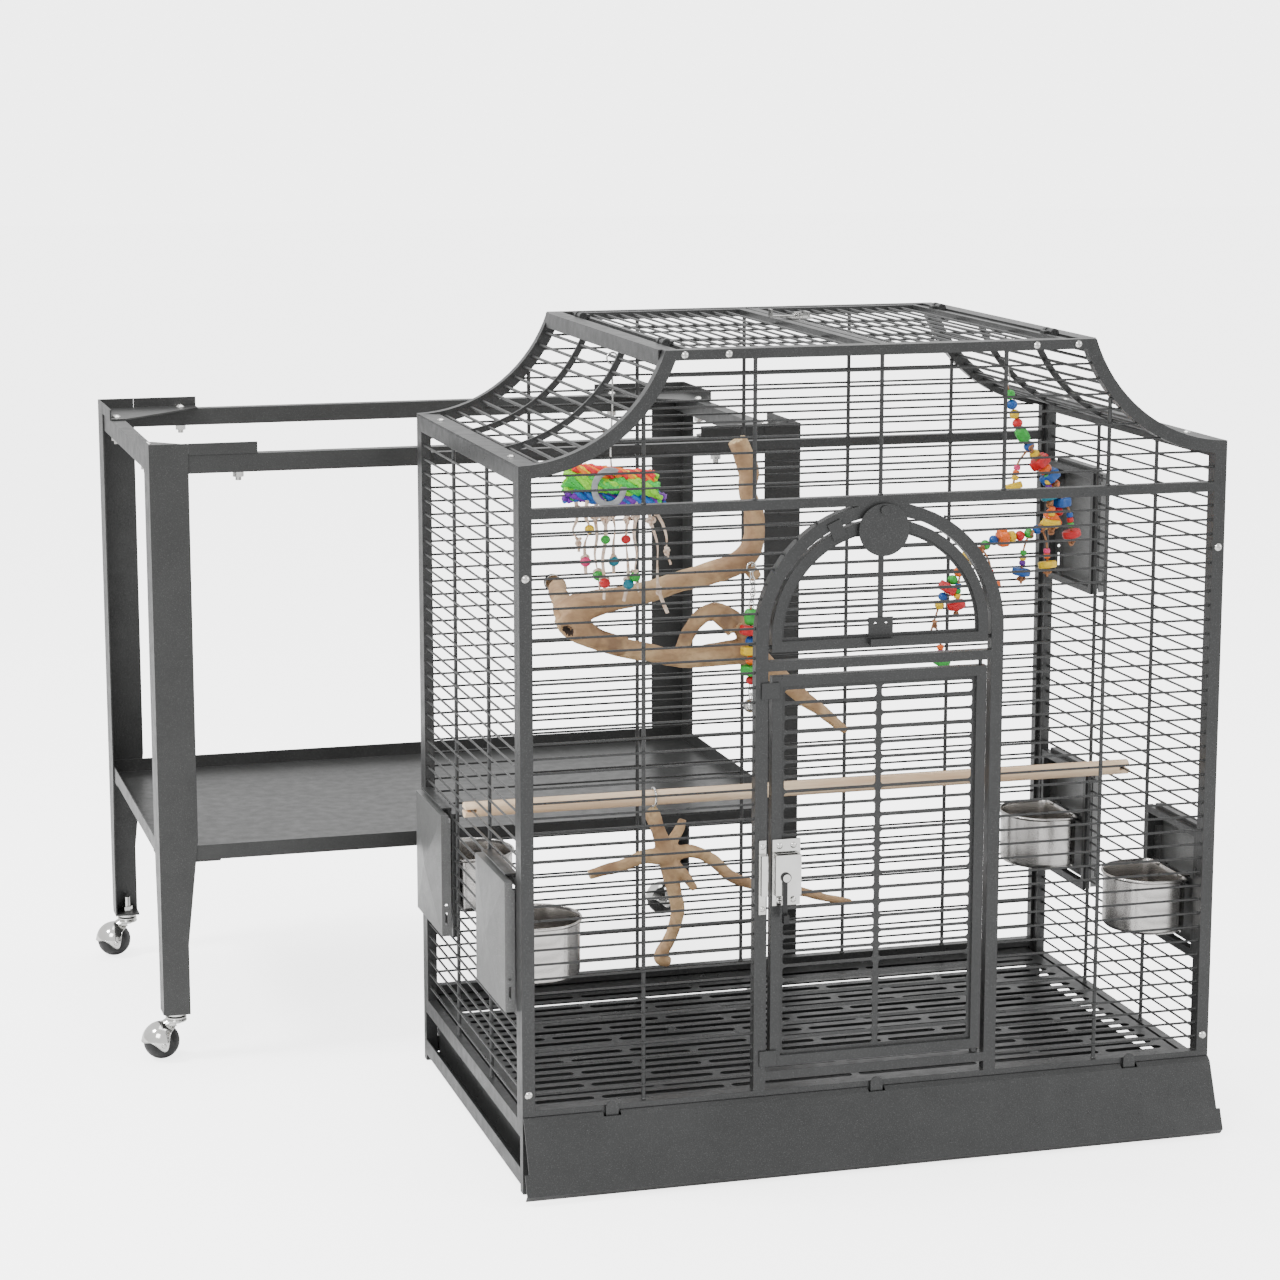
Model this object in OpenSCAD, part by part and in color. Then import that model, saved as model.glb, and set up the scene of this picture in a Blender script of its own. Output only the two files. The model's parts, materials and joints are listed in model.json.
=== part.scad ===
// Bird cage with an opening roof, standing in front of its own wheeled stand.
// Millimetres, +Z up, origin on the floor under the middle of the whole set.
// The cage's front is the -Y side. The stand is behind it, a little to the left.

/* [Cage] */
// width of the cage over its corner posts
cage_w = 915; // [820:5:1100]
// depth of the cage from front frame to rear frame
cage_d = 570; // [520:5:700]
// height of the shoulders, where the curved roof sides start
cage_shoulder = 901; // [860:1:1000]
// height of the flat roof
cage_h = 1033; // [1010:1:1130]
// width of the square corner posts
post_w = 16; // [14:0.5:20]
// height of the horizontal tubes
rail_h = 12; // [10:0.5:14]
// thickness of the front and rear frames
frame_t = 14; // [12:0.5:18]
// radius of the hollow curve from shoulder to roof
ogee_r = 194; // [180:1:240]
// top of the bottom tube of the front and rear frames
sill_z = 106; // [104:1:116]

/* [Wires] */
// diameter of the level wires
wire_d = 3; // [2.4:0.1:3.6]
// diameter of the upright wires
upright_d = 5; // [4:0.1:6]
// wanted distance between level wires
wire_pitch = 18.3; // [16:0.1:24]
// distance of the side uprights from the middle of the side
upright_y = 93; // [85:1:110]

/* [Doors] */
// outer radius of the arch above the door
arch_r = 161.5; // [150:0.5:175]
// height of the arch's centre
arch_z = 678.5; // [660:0.5:700]
// underside of the landing door's bottom tube
arch_door_z = 661; // [656:0.5:668]
// gap between a door and the frame around it
door_gap = 4.5; // [3:0.1:6]
// lower edge of the big door
door_z0 = 136; // [134:0.5:150]
// upper edge of the big door
door_z1 = 631; // [600:0.5:634]
// width of the doors' edge tubes
door_tube = 13; // [11:0.5:16]
// diameter of the turning lock disc
disc_d = 65; // [56:0.5:72]
// diameter of the doors' pivot pins
pin_d = 5; // [4:0.1:6]
// play between a pin and its hole, on the radius
pin_play = 0.05; // [0.02:0.01:0.09]

/* [Feeders] */
// width of one feeder opening frame
feeder_w = 158; // [130:1:162]
// height of one feeder opening frame
feeder_h = 168; // [150:1:180]
// underside of the lower feeder frames
feeder_z = 223; // [210:1:240]
// underside of the single upper feeder frame
feeder_hi_z = 642; // [600:1:680]
// how far a cover stands out from the side
cover_t = 20; // [20:0.5:30]
// width of a bowl along the side
bowl_w = 120; // [100:1:126]
// depth of a bowl
bowl_h = 74; // [60:1:80]

/* [Tray] */
// height of the tray's walls
tray_h = 48; // [30:1:55]
// thickness of sheet parts
sheet = 1.5; // [1:0.1:2]
// top of the floor grate
grate_z = 91; // [86:0.5:91.5]
// height of the front skirt
skirt_h = 97; // [88:0.5:99]

/* [Stand] */
// height of the stand over its casters
stand_h = 860; // [780:5:960]
// play around the cage when it sits in the stand
seat_gap = 1; // [0.5:0.1:3]
// width of a leg flange at the top
leg_w = 53; // [46:1:64]
// width of a leg flange at the foot
leg_foot_w = 37; // [35:1:44]
// diameter of a caster ball
ball_d = 50; // [40:1:55]
// top of the shelf's rim
shelf_z = 304; // [250:1:420]
// free space between the cage's back and the stand
stand_back = 80; // [70:1:400]
// how far the stand is set off to the left
stand_left = 350; // [0:1:500]

/* [Hidden] */
level_gap = 0.3;
steel_t = 2;
stand_w = cage_w + 2 * (seat_gap + steel_t);
stand_d = cage_d + 2 * (seat_gap + steel_t);
foot_z = ball_d + 15;
caster_off = 21;
stem_in = 19;
wheel_r = ball_d / 2;
hood_r = wheel_r + 3;
skirt_out = 42;
cover_gap = 0.6;
x_min = min(-stand_left + stem_in - caster_off - hood_r, -cover_t - cover_gap);
x_max = cage_w + cover_t + cover_gap;
y_min = -skirt_out;
y_max = cage_d + stand_back + stand_d + max(0, hood_r - stem_in);
cage_x = -(x_min + x_max) / 2;
cage_y = -(y_min + y_max) / 2;
stand_x = cage_x - stand_left;
stand_y = cage_y + cage_d + stand_back;
mid_x = cage_w / 2;
ogee_x = -3;
ogee_z = cage_shoulder + ogee_r;
ogee_in = ogee_r + post_w;
mid_z = arch_z + arch_r - level_gap - 2.7;
arch_in = arch_r - post_w;
sill_lo = sill_z - rail_h;
cross_z = arch_door_z - 11 - rail_h;
low_cross_z = door_z0 - 6 - rail_h;
roof_in = cage_h - rail_h;
side_t = 12;
side_z0 = sill_lo - 24;
side_rail_t = 20;
side_z1 = cage_shoulder - 2.2;
side_y0 = frame_t + 0.2;
side_y1 = cage_d - frame_t - 0.2;
stile = 13.5;
bar_y = frame_t / 2;
door_half = arch_in - door_gap - 1;
door_t = 12;
door_y = 0.5;
pin_x = door_half - door_tube / 2;
pin_y = door_y + door_t / 2;
disc_y = -6;
disc_t = 1.5;
disc_drop = disc_d / 2 - 8;
disc_pivot_z = arch_z + arch_r - post_w / 2;
arch_door_r = arch_in - door_gap;
hinge_z = arch_door_z + 6;
feed_y0 = cage_d / 2 - upright_y - upright_d / 2 - 3.5 - feeder_w;
feed_y1 = cage_d / 2 + upright_y + upright_d / 2 + 3.5;
feed_bar = 9;
feed_t = 10;
cover_w = feeder_w - 2;
cover_h = feeder_h - 4;
cover_rise = 7;
cover_lug_r = 4;
cover_pin_z = cover_h - 4;
cover_pin_x = cover_rise - cover_t - cover_gap + sheet + 1.1 + cover_lug_r;
bowl_z = 26;
bowl_flat = 24;
tray_x0 = 18;
tray_z = 11.3;
grate_t = 1.5;
ogee_a0 = asin((cage_h - 3 - ogee_z) / (ogee_r + 1));
roof_x = ogee_x + sqrt(pow(ogee_r, 2) - pow(ogee_z - cage_h, 2));
flap_x0 = roof_x + 26;
flap_gap = 3;
flap_t = 10;
flap_y0 = frame_t + 4;
flap_y1 = cage_d - frame_t - 4;
flap_z = cage_h - flap_t - 0.5;
flap_bar = 12;
perch_d = 20;
perch_x = 5;
side_steps = round((side_z1 - side_rail_t - side_z0 - side_rail_t) / wire_pitch);
side_step = (side_z1 - side_rail_t - side_z0 - side_rail_t) / side_steps;
side_first = side_z0 + side_rail_t;
perch_z = side_first + 18 * side_step;
low_steps = round((mid_z - sill_z) / wire_pitch);
low_step = (mid_z - sill_z) / low_steps;
top_steps = round((roof_in - mid_z - rail_h) / wire_pitch);
top_step = (roof_in - mid_z - rail_h) / top_steps;
hook_gap = 345;
slats = 12;
curve_start = 85;
slat_hi = ogee_a0 - 7;
slat_r = ogee_r + 7;
slat_x = ogee_x + slat_r * cos(slat_hi);
slat_z = ogee_z + slat_r * sin(slat_hi);

steel = [0.24, 0.245, 0.245];
chrome = [0.78, 0.78, 0.77];
black = [0.05, 0.05, 0.05];
wood = [0.62, 0.46, 0.30];
pale = [0.83, 0.68, 0.50];

// ---------- helpers ----------
module at_cage() { translate([cage_x, cage_y, 0]) children(); }
module at_stand() { translate([stand_x, stand_y, 0]) children(); }
module box(x0, x1, y0, y1, z0, z1) {
  translate([x0, y0, z0]) cube([x1 - x0, y1 - y0, z1 - z0]);
}
module rod_x(x0, x1, y, z, d) {
  translate([x0, y, z]) rotate([0, 90, 0]) cylinder(h = x1 - x0, d = d, $fn = 48);
}
module rod_y(y0, y1, x, z, d) {
  translate([x, y0, z]) rotate([-90, 0, 0]) cylinder(h = y1 - y0, d = d, $fn = 48);
}
module rod_z(z0, z1, x, y, d) {
  translate([x, y, z0]) cylinder(h = z1 - z0, d = d, $fn = 48);
}
// a flat outline drawn in x and z, made y0..y1 thick
module slab_xz(y0, y1) {
  translate([0, y1, 0]) rotate([90, 0, 0]) linear_extrude(y1 - y0) children();
}
// a flat outline drawn in y and z, made x0..x1 thick
module slab_yz(x0, x1) {
  translate([x0, 0, 0]) rotate([90, 0, 90]) linear_extrude(x1 - x0) children();
}
module flip_x(on) {
  translate([on ? cage_w : 0, 0, 0]) mirror([on ? 1 : 0, 0, 0]) children();
}
// points of a round-cornered rectangle about its own centre
function rr(cx, cy, w, h, r) = [for (c = [0 : 3]) for (a = [0 : 22.5 : 90])
  let (sx = (c == 0 || c == 3) ? 1 : -1, sy = (c < 2) ? 1 : -1)
  [cx + sx * (w / 2 - r) + r * cos(c * 90 + a), cy + sy * (h / 2 - r) + r * sin(c * 90 + a)]];
// the straight limb of a branch between two points
module limb(a, b, r, n = 24) {
  v = b - a;
  len_v = norm(v);
  translate(a) rotate([0, acos(v[2] / len_v), atan2(v[1], v[0])])
    cylinder(h = len_v, r = r, $fn = n);
}
module knot(a, r, n = 24) { translate(a) rotate([90, 0, 0]) sphere(r = r, $fn = n); }

// ---------- cage: flat outlines ----------
module gable(inset, top) {
  difference() {
    translate([inset, 0]) square([cage_w - 2 * inset, top]);
    for (m = [0, 1]) {
      translate([m * cage_w, 0]) mirror([m, 0]) {
        translate([ogee_x, ogee_z]) circle(r = ogee_r + inset, $fn = 96);
      }
    }
  }
}
module gable_frame() {
  difference() {
    gable(0, cage_h);
    difference() {
      gable(post_w, roof_in);
      square([cage_w, sill_z]);
    }
    translate([post_w, -1]) square([cage_w - 2 * post_w, sill_lo + 1]);
  }
  translate([post_w / 2, mid_z]) square([cage_w - post_w, rail_h]);
}
module front_outline() {
  gable_frame();
  for (s = [-1, 1]) {
    translate([mid_x + s * (arch_r - post_w / 2) - post_w / 2, sill_lo + 1])
      square([post_w, arch_z - sill_lo - 1]);
  }
  for (z = [low_cross_z, cross_z]) {
    translate([mid_x - arch_r + post_w / 2, z]) square([2 * arch_r - post_w, rail_h]);
  }
  difference() {
    translate([mid_x, arch_z]) circle(r = arch_r, $fn = 96);
    translate([mid_x, arch_z]) circle(r = arch_in, $fn = 96);
    translate([mid_x - arch_r - 1, arch_z - arch_r - 1]) square([2 * arch_r + 2, arch_r + 1]);
  }
}

// left end of the free span at height z inside the gable
function gable_x(z) = z < ogee_z - ogee_in ? post_w :
  max(post_w, ogee_x + sqrt(pow(ogee_in, 2) - pow(ogee_z - z, 2)));
// top of the free span at distance x from the side
function gable_z(x) = x > ogee_x + sqrt(pow(ogee_in, 2) - pow(ogee_z - roof_in, 2)) ? roof_in :
  ogee_z - sqrt(pow(ogee_in, 2) - pow(x - ogee_x, 2));
// half width of the door frame at height z
function arch_half(z) = z < arch_z ? arch_r :
  (z > arch_z + arch_r ? 0 : sqrt(pow(arch_r, 2) - pow(z - arch_z, 2)));
wire_x = mid_x / 3 + 4;

// ---------- cage: fixed parts ----------
module front_frame() {
  color(steel) at_cage() {
    difference() {
      slab_xz(0, frame_t) front_outline();
      rod_z(low_cross_z + rail_h - 5.5, low_cross_z + rail_h + 1, mid_x + pin_x, pin_y,
        pin_d + 2 * pin_play);
      rod_z(cross_z - 1, cross_z + 6.5, mid_x + pin_x, pin_y, pin_d + 2 * pin_play);
      for (s = [-1, 1]) {
        rod_x(mid_x + s * (arch_in + 2) - 4, mid_x + s * (arch_in + 2) + 4, pin_y, hinge_z,
          pin_d + 2 * pin_play);
      }
    }
    for (s = [-1, 0, 1]) translate([mid_x + s * hook_gap, 0, 0]) skirt_tongue();
    rod_y(disc_y - 1.5, 1, mid_x, disc_pivot_z, 6);
    rod_y(disc_y - 3.2, disc_y - 0.4, mid_x, disc_pivot_z, 11);
    rod_y(disc_y + disc_t + 0.4, 1, mid_x, disc_pivot_z, 10);
  }
}
module skirt_tongue() {
  box(-8, 8, -5, -3, grate_z + 0.9, sill_z - 2);
  rod_y(-5, -3, 0, sill_z - 2, 16);
  box(-6, 6, -4, 1, sill_lo + 4, sill_z - 3);
}
module front_bars() {
  color(steel) at_cage() {
    for (m = [false, true]) flip_x(m) {
      rod_z(sill_z + level_gap, mid_z - level_gap, wire_x, bar_y + 3, upright_d);
      for (i = [1 : low_steps - 1]) {
        z = sill_z + i * low_step;
        x1 = mid_x - max(arch_half(z - wire_d / 2), arch_half(z)) - level_gap;
        rod_x(post_w + level_gap, min(x1, mid_x - 60), bar_y, z, wire_d);
      }
      for (x = [wire_x, mid_x - arch_r]) {
        rod_z(mid_z + rail_h + level_gap, gable_z(x - upright_d / 2) - level_gap, x,
          bar_y + 3, upright_d);
      }
    }
    rod_z(mid_z + rail_h + level_gap, roof_in - level_gap, mid_x, bar_y + 3, upright_d);
    for (i = [1 : top_steps - 1]) {
      z = mid_z + rail_h + i * top_step;
      x0 = gable_x(z + wire_d / 2) + level_gap;
      rod_x(x0, cage_w - x0, bar_y, z, wire_d);
    }
  }
}
module rear_frame() {
  color(steel) at_cage() slab_xz(cage_d - frame_t, cage_d) gable_frame();
}
module rear_bars() {
  y = cage_d - bar_y;
  color(steel) at_cage() {
    for (k = [1 : 5]) {
      x = k * cage_w / 6;
      rod_z(sill_z + level_gap, mid_z - level_gap, x, y - 3, upright_d);
      edge = min(x, cage_w - x);
      rod_z(mid_z + rail_h + level_gap, gable_z(edge - upright_d / 2) - level_gap, x, y - 3,
        upright_d);
    }
    for (i = [1 : low_steps - 1]) {
      rod_x(post_w + level_gap, cage_w - post_w - level_gap, y, sill_z + i * low_step, wire_d);
    }
    for (i = [1 : top_steps - 1]) {
      z = mid_z + rail_h + i * top_step;
      x0 = gable_x(z + wire_d / 2) + level_gap;
      rod_x(x0, cage_w - x0, y, z, wire_d);
    }
  }
}
module side_frame() {
  slab_yz(0, side_t) difference() {
    translate([side_y0, side_z0]) square([side_y1 - side_y0, side_z1 - side_z0]);
    translate([side_y0 + stile, side_z0 + side_rail_t])
      square([side_y1 - side_y0 - 2 * stile, side_z1 - side_z0 - 2 * side_rail_t]);
  }
  box(side_t - 1, side_t + 11, side_y0, side_y1, side_z0 + 5, grate_z - grate_t - 8);
}
module side_frame_left() { color(steel) at_cage() side_frame(); }
module side_frame_right() { color(steel) at_cage() flip_x(true) side_frame(); }
// true where a level wire at height z meets a feeder frame that starts at z0
function near(z, z0) = z > z0 - wire_d / 2 - level_gap
  && z < z0 + feeder_h + wire_d / 2 + level_gap;
module side_bars(upper) {
  ya = side_y0 + stile + level_gap;
  yb = side_y1 - stile - level_gap;
  for (s = [-1, 1]) {
    rod_z(side_first + level_gap, side_z1 - side_rail_t - level_gap, 7,
      cage_d / 2 + s * upright_y, upright_d);
  }
  for (i = [1 : side_steps - 1]) {
    z = side_first + i * side_step;
    y0 = near(z, feeder_z) ? feed_y0 + feeder_w + level_gap : ya;
    y1 = (near(z, feeder_z) || (upper && near(z, feeder_hi_z))) ? feed_y1 - level_gap : yb;
    rod_y(y0, y1, 4, z, wire_d);
  }
}
module side_bars_left() { color(steel) at_cage() side_bars(false); }
module side_bars_right() { color(steel) at_cage() flip_x(true) side_bars(true); }

// one curved roof side: sheet edges, two curved flat bars and level slats
module roof_curve() {
  a_lo = 1 - curve_start;
  box(0.5, 27, side_y0, side_y1, side_z1 + 0.2, side_z1 + 2.2);
  box(roof_x - 5, roof_x + 17.5, side_y0, side_y1, cage_h - 2, cage_h);
  box(roof_x - 5, roof_x - 3, side_y0, side_y1, cage_h - 20, cage_h - 1);
  for (y = [cage_d / 2 - upright_y, cage_d / 2 + upright_y]) {
    translate([ogee_x, y + 2, ogee_z]) rotate([90, 0, 0])
      rotate([0, 0, -curve_start]) rotate_extrude(angle = curve_start + ogee_a0 - 3, $fn = 96)
        translate([ogee_r + 3, 0]) square([8, 4]);
  }
  for (i = [0 : slats - 1]) {
    a = a_lo + (slat_hi - a_lo) * i / (slats - 1);
    rod_y(side_y0 + 0.3, side_y1 - 0.3, ogee_x + slat_r * cos(a), ogee_z + slat_r * sin(a), 4);
  }
}
module roof_curve_left() { color(steel) at_cage() roof_curve(); }
module roof_curve_right() { color(steel) at_cage() flip_x(true) roof_curve(); }
// two rails beside the flaps, a cross bar at each end and their hinge lugs
module roof_frame() {
  color(steel) at_cage() for (m = [false, true]) flip_x(m) {
    difference() {
      union() {
        box(roof_x + 6, roof_x + 21, side_y0, side_y1, cage_h - 14, cage_h - 2.3);
        for (y = [90, cage_d - 90]) rod_y(y - 14, y + 14, flap_x0 - 2.5, cage_h + 1, 11);
      }
      for (y = [90, cage_d - 90]) {
        box(flap_x0 - 10, flap_x0 + 6, y - 7, y + 7, cage_h - 10, cage_h + 9);
        rod_y(y - 15, y + 15, flap_x0 - 2.5, cage_h + 1, pin_d + 2 * pin_play);
      }
    }
  }
}
flap_in = mid_x - flap_gap / 2;
module roof_flap() {
  wires = round((flap_in - flap_x0 - 2 * flap_bar) / wire_pitch);
  gap = (flap_in - flap_x0 - 2 * flap_bar) / wires;
  difference() {
    box(flap_x0 + 5, flap_in, flap_y0, flap_y1, flap_z, flap_z + flap_t);
    box(flap_x0 + flap_bar, flap_in - flap_bar, flap_y0 + flap_bar, flap_y1 - flap_bar,
      flap_z - 1, flap_z + flap_t + 1);
  }
  for (y = [90, cage_d - 90]) {
    rod_y(y - 6.5, y + 6.5, flap_x0 - 2.5, cage_h + 1, 9);
    rod_y(y - 13.5, y + 13.5, flap_x0 - 2.5, cage_h + 1, pin_d);
    box(flap_x0 - 2.5, flap_x0 + 9, y - 6.5, y + 6.5, cage_h - 2, cage_h + 3);
  }
  for (i = [1 : wires - 1]) {
    rod_y(flap_y0 + flap_bar - 1, flap_y1 - flap_bar + 1, flap_x0 + flap_bar + i * gap,
      flap_z + 6.5, wire_d);
  }
  for (y = [cage_d / 3, cage_d * 2 / 3]) {
    rod_x(flap_x0 + flap_bar - 1, flap_in - flap_bar + 1, y, flap_z + 3.6, 4);
  }
}
module roof_flap_left() { color(steel) at_cage() roof_flap(); }
module roof_flap_right() { color(steel) at_cage() flip_x(true) roof_flap(); }
// a small turn catch across the two flaps
catch_y = cage_d * 0.66;
module roof_catch() {
  color(chrome) at_cage() {
    box(mid_x + 3, mid_x + 33, catch_y - 14, catch_y + 14, cage_h, cage_h + 2);
    rod_z(cage_h + 2, cage_h + 8, mid_x + 15, catch_y, 6);
    rod_z(cage_h + 6.4, cage_h + 8.4, mid_x + 15, catch_y, 11);
    box(mid_x + 26, mid_x + 29, catch_y - 10, catch_y + 10, cage_h + 1, cage_h + 9);
  }
}
module roof_lever() {
  color(chrome) at_cage() difference() {
    union() {
      box(mid_x - 24, mid_x + 15, catch_y - 5, catch_y + 5, cage_h + 2.4, cage_h + 4.4);
      rod_z(cage_h + 2.4, cage_h + 6, mid_x + 15, catch_y, 14);
      box(mid_x - 24, mid_x - 21, catch_y - 5, catch_y + 5, cage_h + 4, cage_h + 13);
    }
    rod_z(cage_h + 1, cage_h + 7, mid_x + 15, catch_y, 6 + 2 * pin_play);
  }
}

// ---------- cage: base ----------
module base_rails() {
  color(steel) at_cage() {
    for (m = [false, true]) flip_x(m) {
      box(0, 2, side_y0, side_y1, 9, 30);
      box(0, 26, side_y0, side_y1, 9, 11);
    }
    box(post_w + level_gap, cage_w - post_w - level_gap, cage_d - 4, cage_d - 2, 62, sill_lo - 1);
    box(post_w + level_gap, cage_w - post_w - level_gap, cage_d - 4, cage_d - 2, 9, 30);
  }
}
slot_rows = round((side_y1 - side_y0 - 40) / 25);
slot_pitch = (side_y1 - side_y0 - 40) / slot_rows;
grate_w = cage_w - 2 * tray_x0;
slot_l = (grate_w - 24) / 5;
slot_h = 12;
module slot(lo, hi) {
  translate([lo + slot_h / 2, -slot_h / 2]) square([hi - lo - slot_h, slot_h]);
  for (x = [lo + slot_h / 2, hi - slot_h / 2]) translate([x, 0]) circle(d = slot_h, $fn = 24);
}
module grate() {
  gx0 = tray_x0;
  gx1 = cage_w - tray_x0;
  gy0 = side_y0;
  gy1 = cage_d - 5;
  color(steel) at_cage() {
    translate([0, 0, grate_z - grate_t]) linear_extrude(grate_t) difference() {
      translate([gx0, gy0]) square([gx1 - gx0, gy1 - gy0]);
      for (j = [0 : slot_rows - 1]) for (k = [0 : 4 + j % 2]) {
        full = gx0 + 12 + (k + 0.5 - (j % 2) / 2) * slot_l;
        translate([0, gy0 + 22 + (j + 0.5) * slot_pitch])
          slot(max(gx0 + 14, full - slot_l / 2 + 5), min(gx1 - 14, full + slot_l / 2 - 5));
      }
    }
    box(gx0, gx1, gy0, gy0 + sheet, grate_z - 9, grate_z - 1);
    box(gx0, gx1, gy1 - sheet, gy1, grate_z - 9, grate_z - 1);
    box(gx0, gx0 + sheet, gy0, gy1, grate_z - 9, grate_z - 1);
    box(gx1 - sheet, gx1, gy0, gy1, grate_z - 9, grate_z - 1);
  }
}
module tray() {
  x0 = tray_x0;
  x1 = cage_w - tray_x0;
  y0 = side_y0 - 10;
  y1 = cage_d - 5;
  color(steel) at_cage() {
    difference() {
      box(x0, x1, y0, y1, tray_z, tray_z + tray_h);
      box(x0 + sheet, x1 - sheet, y0 + sheet, y1 - sheet, tray_z + sheet, tray_z + tray_h + 1);
    }
    rod_x(x0 + 2, x1 - 2, y0 + 2.4, tray_z + tray_h - 1.5, 4);
  }
}
// sloped front skirt: top flange, face and bottom lip in one bent sheet
module skirt() {
  t = sheet;
  color(steel) at_cage() difference() {
    slab_yz(-5, cage_w + 5) polygon([[-1.2, skirt_h + t], [-8, skirt_h - 4], [-skirt_out, 11],
      [-skirt_out + 8, 3], [-skirt_out + 8.6, 4.6], [-skirt_out + 2.2, 11.4],
      [-8 + t, skirt_h - 5.2], [-1.2, skirt_h - 0.6]]);
    for (x = [-6, cage_w]) box(x, x + 6, -skirt_out, 2, 36, skirt_h + 4);
    for (s = [-1, 0, 1]) {
      box(mid_x + s * hook_gap - 11, mid_x + s * hook_gap + 11, -7, 1, skirt_h - 8, skirt_h + 4);
    }
  }
}
module screw_head(d, h) {
  difference() {
    intersection() {
      translate([0, 0, h - d * 0.62]) sphere(d = d * 1.24, $fn = 32);
      cylinder(h = h + 1, d = d, $fn = 32);
    }
    translate([-d / 3, -0.7, h - 0.8]) cube([d / 1.5, 1.4, 2]);
    translate([-0.7, -d / 3, h - 0.8]) cube([1.4, d / 1.5, 2]);
  }
}
module assembly_screws() {
  color(chrome) at_cage() {
    for (m = [false, true]) flip_x(m) {
      for (z = [cage_shoulder * 0.14, cage_shoulder * 0.85]) {
        translate([post_w / 2, -0.05, z]) rotate([90, 0, 0]) screw_head(10, 3);
        translate([post_w / 2, cage_d + 0.05, z]) rotate([-90, 0, 0]) screw_head(10, 3);
      }
      for (x = [roof_x + 24, roof_x + 79]) {
        translate([x, -0.05, cage_h - rail_h / 2]) rotate([90, 0, 0]) screw_head(9, 3);
      }
      for (y = [90, cage_d - 90]) translate([13, y, side_z1 + 2.25]) screw_head(10, 3);
    }
  }
}

// ---------- cage: doors ----------
module door() {
  zc = (door_z0 + door_z1) / 2;
  zh = door_z1 - door_z0;
  in_w = 2 * (door_half - door_tube);
  in_h = zh - 2 * door_tube;
  rows = round((in_h - 6) / wire_pitch);
  step = (in_h - 6) / rows;
  win_w = (in_w - 4 * 2 - 7) / 2;
  holes = [for (s = [-1, 1]) for (i = [0 : rows - 1])
    rr(s * (win_w / 2 + 3.5), -in_h / 2 + 3 + (i + 0.5) * step, win_w, step - 3.6, 4)];
  outer = [[-in_w / 2 - 1, -in_h / 2 - 1], [in_w / 2 + 1, -in_h / 2 - 1],
    [in_w / 2 + 1, in_h / 2 + 1], [-in_w / 2 - 1, in_h / 2 + 1]];
  pts = concat(outer, [for (h = holes) for (p = h) p]);
  paths = concat([[0, 1, 2, 3]],
    [for (i = [0 : len(holes) - 1]) [for (n = [0 : 19]) 4 + i * 20 + n]]);
  color(steel) at_cage() translate([mid_x, 0, 0]) {
    difference() {
      box(-door_half, door_half, door_y, door_y + door_t, door_z0, door_z1);
      box(-door_half + door_tube, door_half - door_tube, door_y - 1, door_y + door_t + 1,
        door_z0 + door_tube, door_z1 - door_tube);
    }
    translate([0, 0, zc]) slab_xz(door_y + 4, door_y + 5.6) polygon(pts, paths);
    for (z = [door_z0 + 1, door_z1 - 27]) {
      box(-door_half - door_gap - 10, -door_half + 8, -2.6, -0.7, z, z + 20);
      box(-door_half, -door_half + 8, -1, 1, z, z + 20);
    }
    rod_z(low_cross_z + rail_h - 5, door_z0 + 1, pin_x, pin_y, pin_d);
    rod_z(low_cross_z + rail_h + 0.6, door_z0 + 0.5, pin_x, pin_y, 10);
    rod_z(door_z1 - 1, cross_z + 6, pin_x, pin_y, pin_d);
  }
}
// slide-bolt catch on the door: plate, raised housing, lever pivot
catch_z = 343;
catch_h = 84;
catch_x = mid_x - door_half + 1;
module door_catch() {
  color(chrome) at_cage() {
    box(catch_x, catch_x + 36, door_y - 2.2, door_y - 0.2, catch_z, catch_z + catch_h);
    difference() {
      box(catch_x + 1, catch_x + 34, door_y - 13, door_y - 2, catch_z + 15, catch_z + 66);
      box(catch_x + 4, catch_x + 31, door_y - 11, door_y - 3, catch_z + 14, catch_z + 67);
    }
    rod_y(door_y - 17.5, door_y - 12, catch_x + 14, catch_z + 38, 6);
    rod_y(door_y - 17.5, door_y - 15.6, catch_x + 14, catch_z + 38, 10);
    for (z = [catch_z + 7, catch_z + catch_h - 8]) {
      for (x = [catch_x + 9, catch_x + 27]) {
        translate([x, door_y - 2.1, z]) rotate([90, 0, 0]) screw_head(8, 2.6);
      }
    }
  }
}
module door_lever() {
  color(black) at_cage() difference() {
    union() {
      rod_y(door_y - 15.4, door_y - 13.4, catch_x + 14, catch_z + 38, 13);
      box(catch_x + 9.5, catch_x + 15.5, door_y - 15.4, door_y - 13.4, catch_z - 16, catch_z + 38);
      box(catch_x + 9, catch_x + 16, door_y - 22, door_y - 13.4, catch_z - 19, catch_z - 8);
    }
    rod_y(door_y - 18, door_y - 12, catch_x + 14, catch_z + 38, 6 + 2 * pin_play);
  }
}
module catch_keeper() {
  kx = mid_x - arch_in - 11;
  color(chrome) at_cage() {
    box(kx, kx + 9, -2.2, -0.2, catch_z - 10, catch_z + catch_h);
    difference() {
      box(kx + 1, kx + 9, -10, -2, catch_z + 15, catch_z + 66);
      box(kx + 3, kx + 10, -8, -3, catch_z + 20, catch_z + 61);
    }
    for (z = [catch_z - 3, catch_z + catch_h - 8]) {
      translate([kx + 4.5, -2.1, z]) rotate([90, 0, 0]) screw_head(7, 2.4);
    }
  }
}
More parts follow.
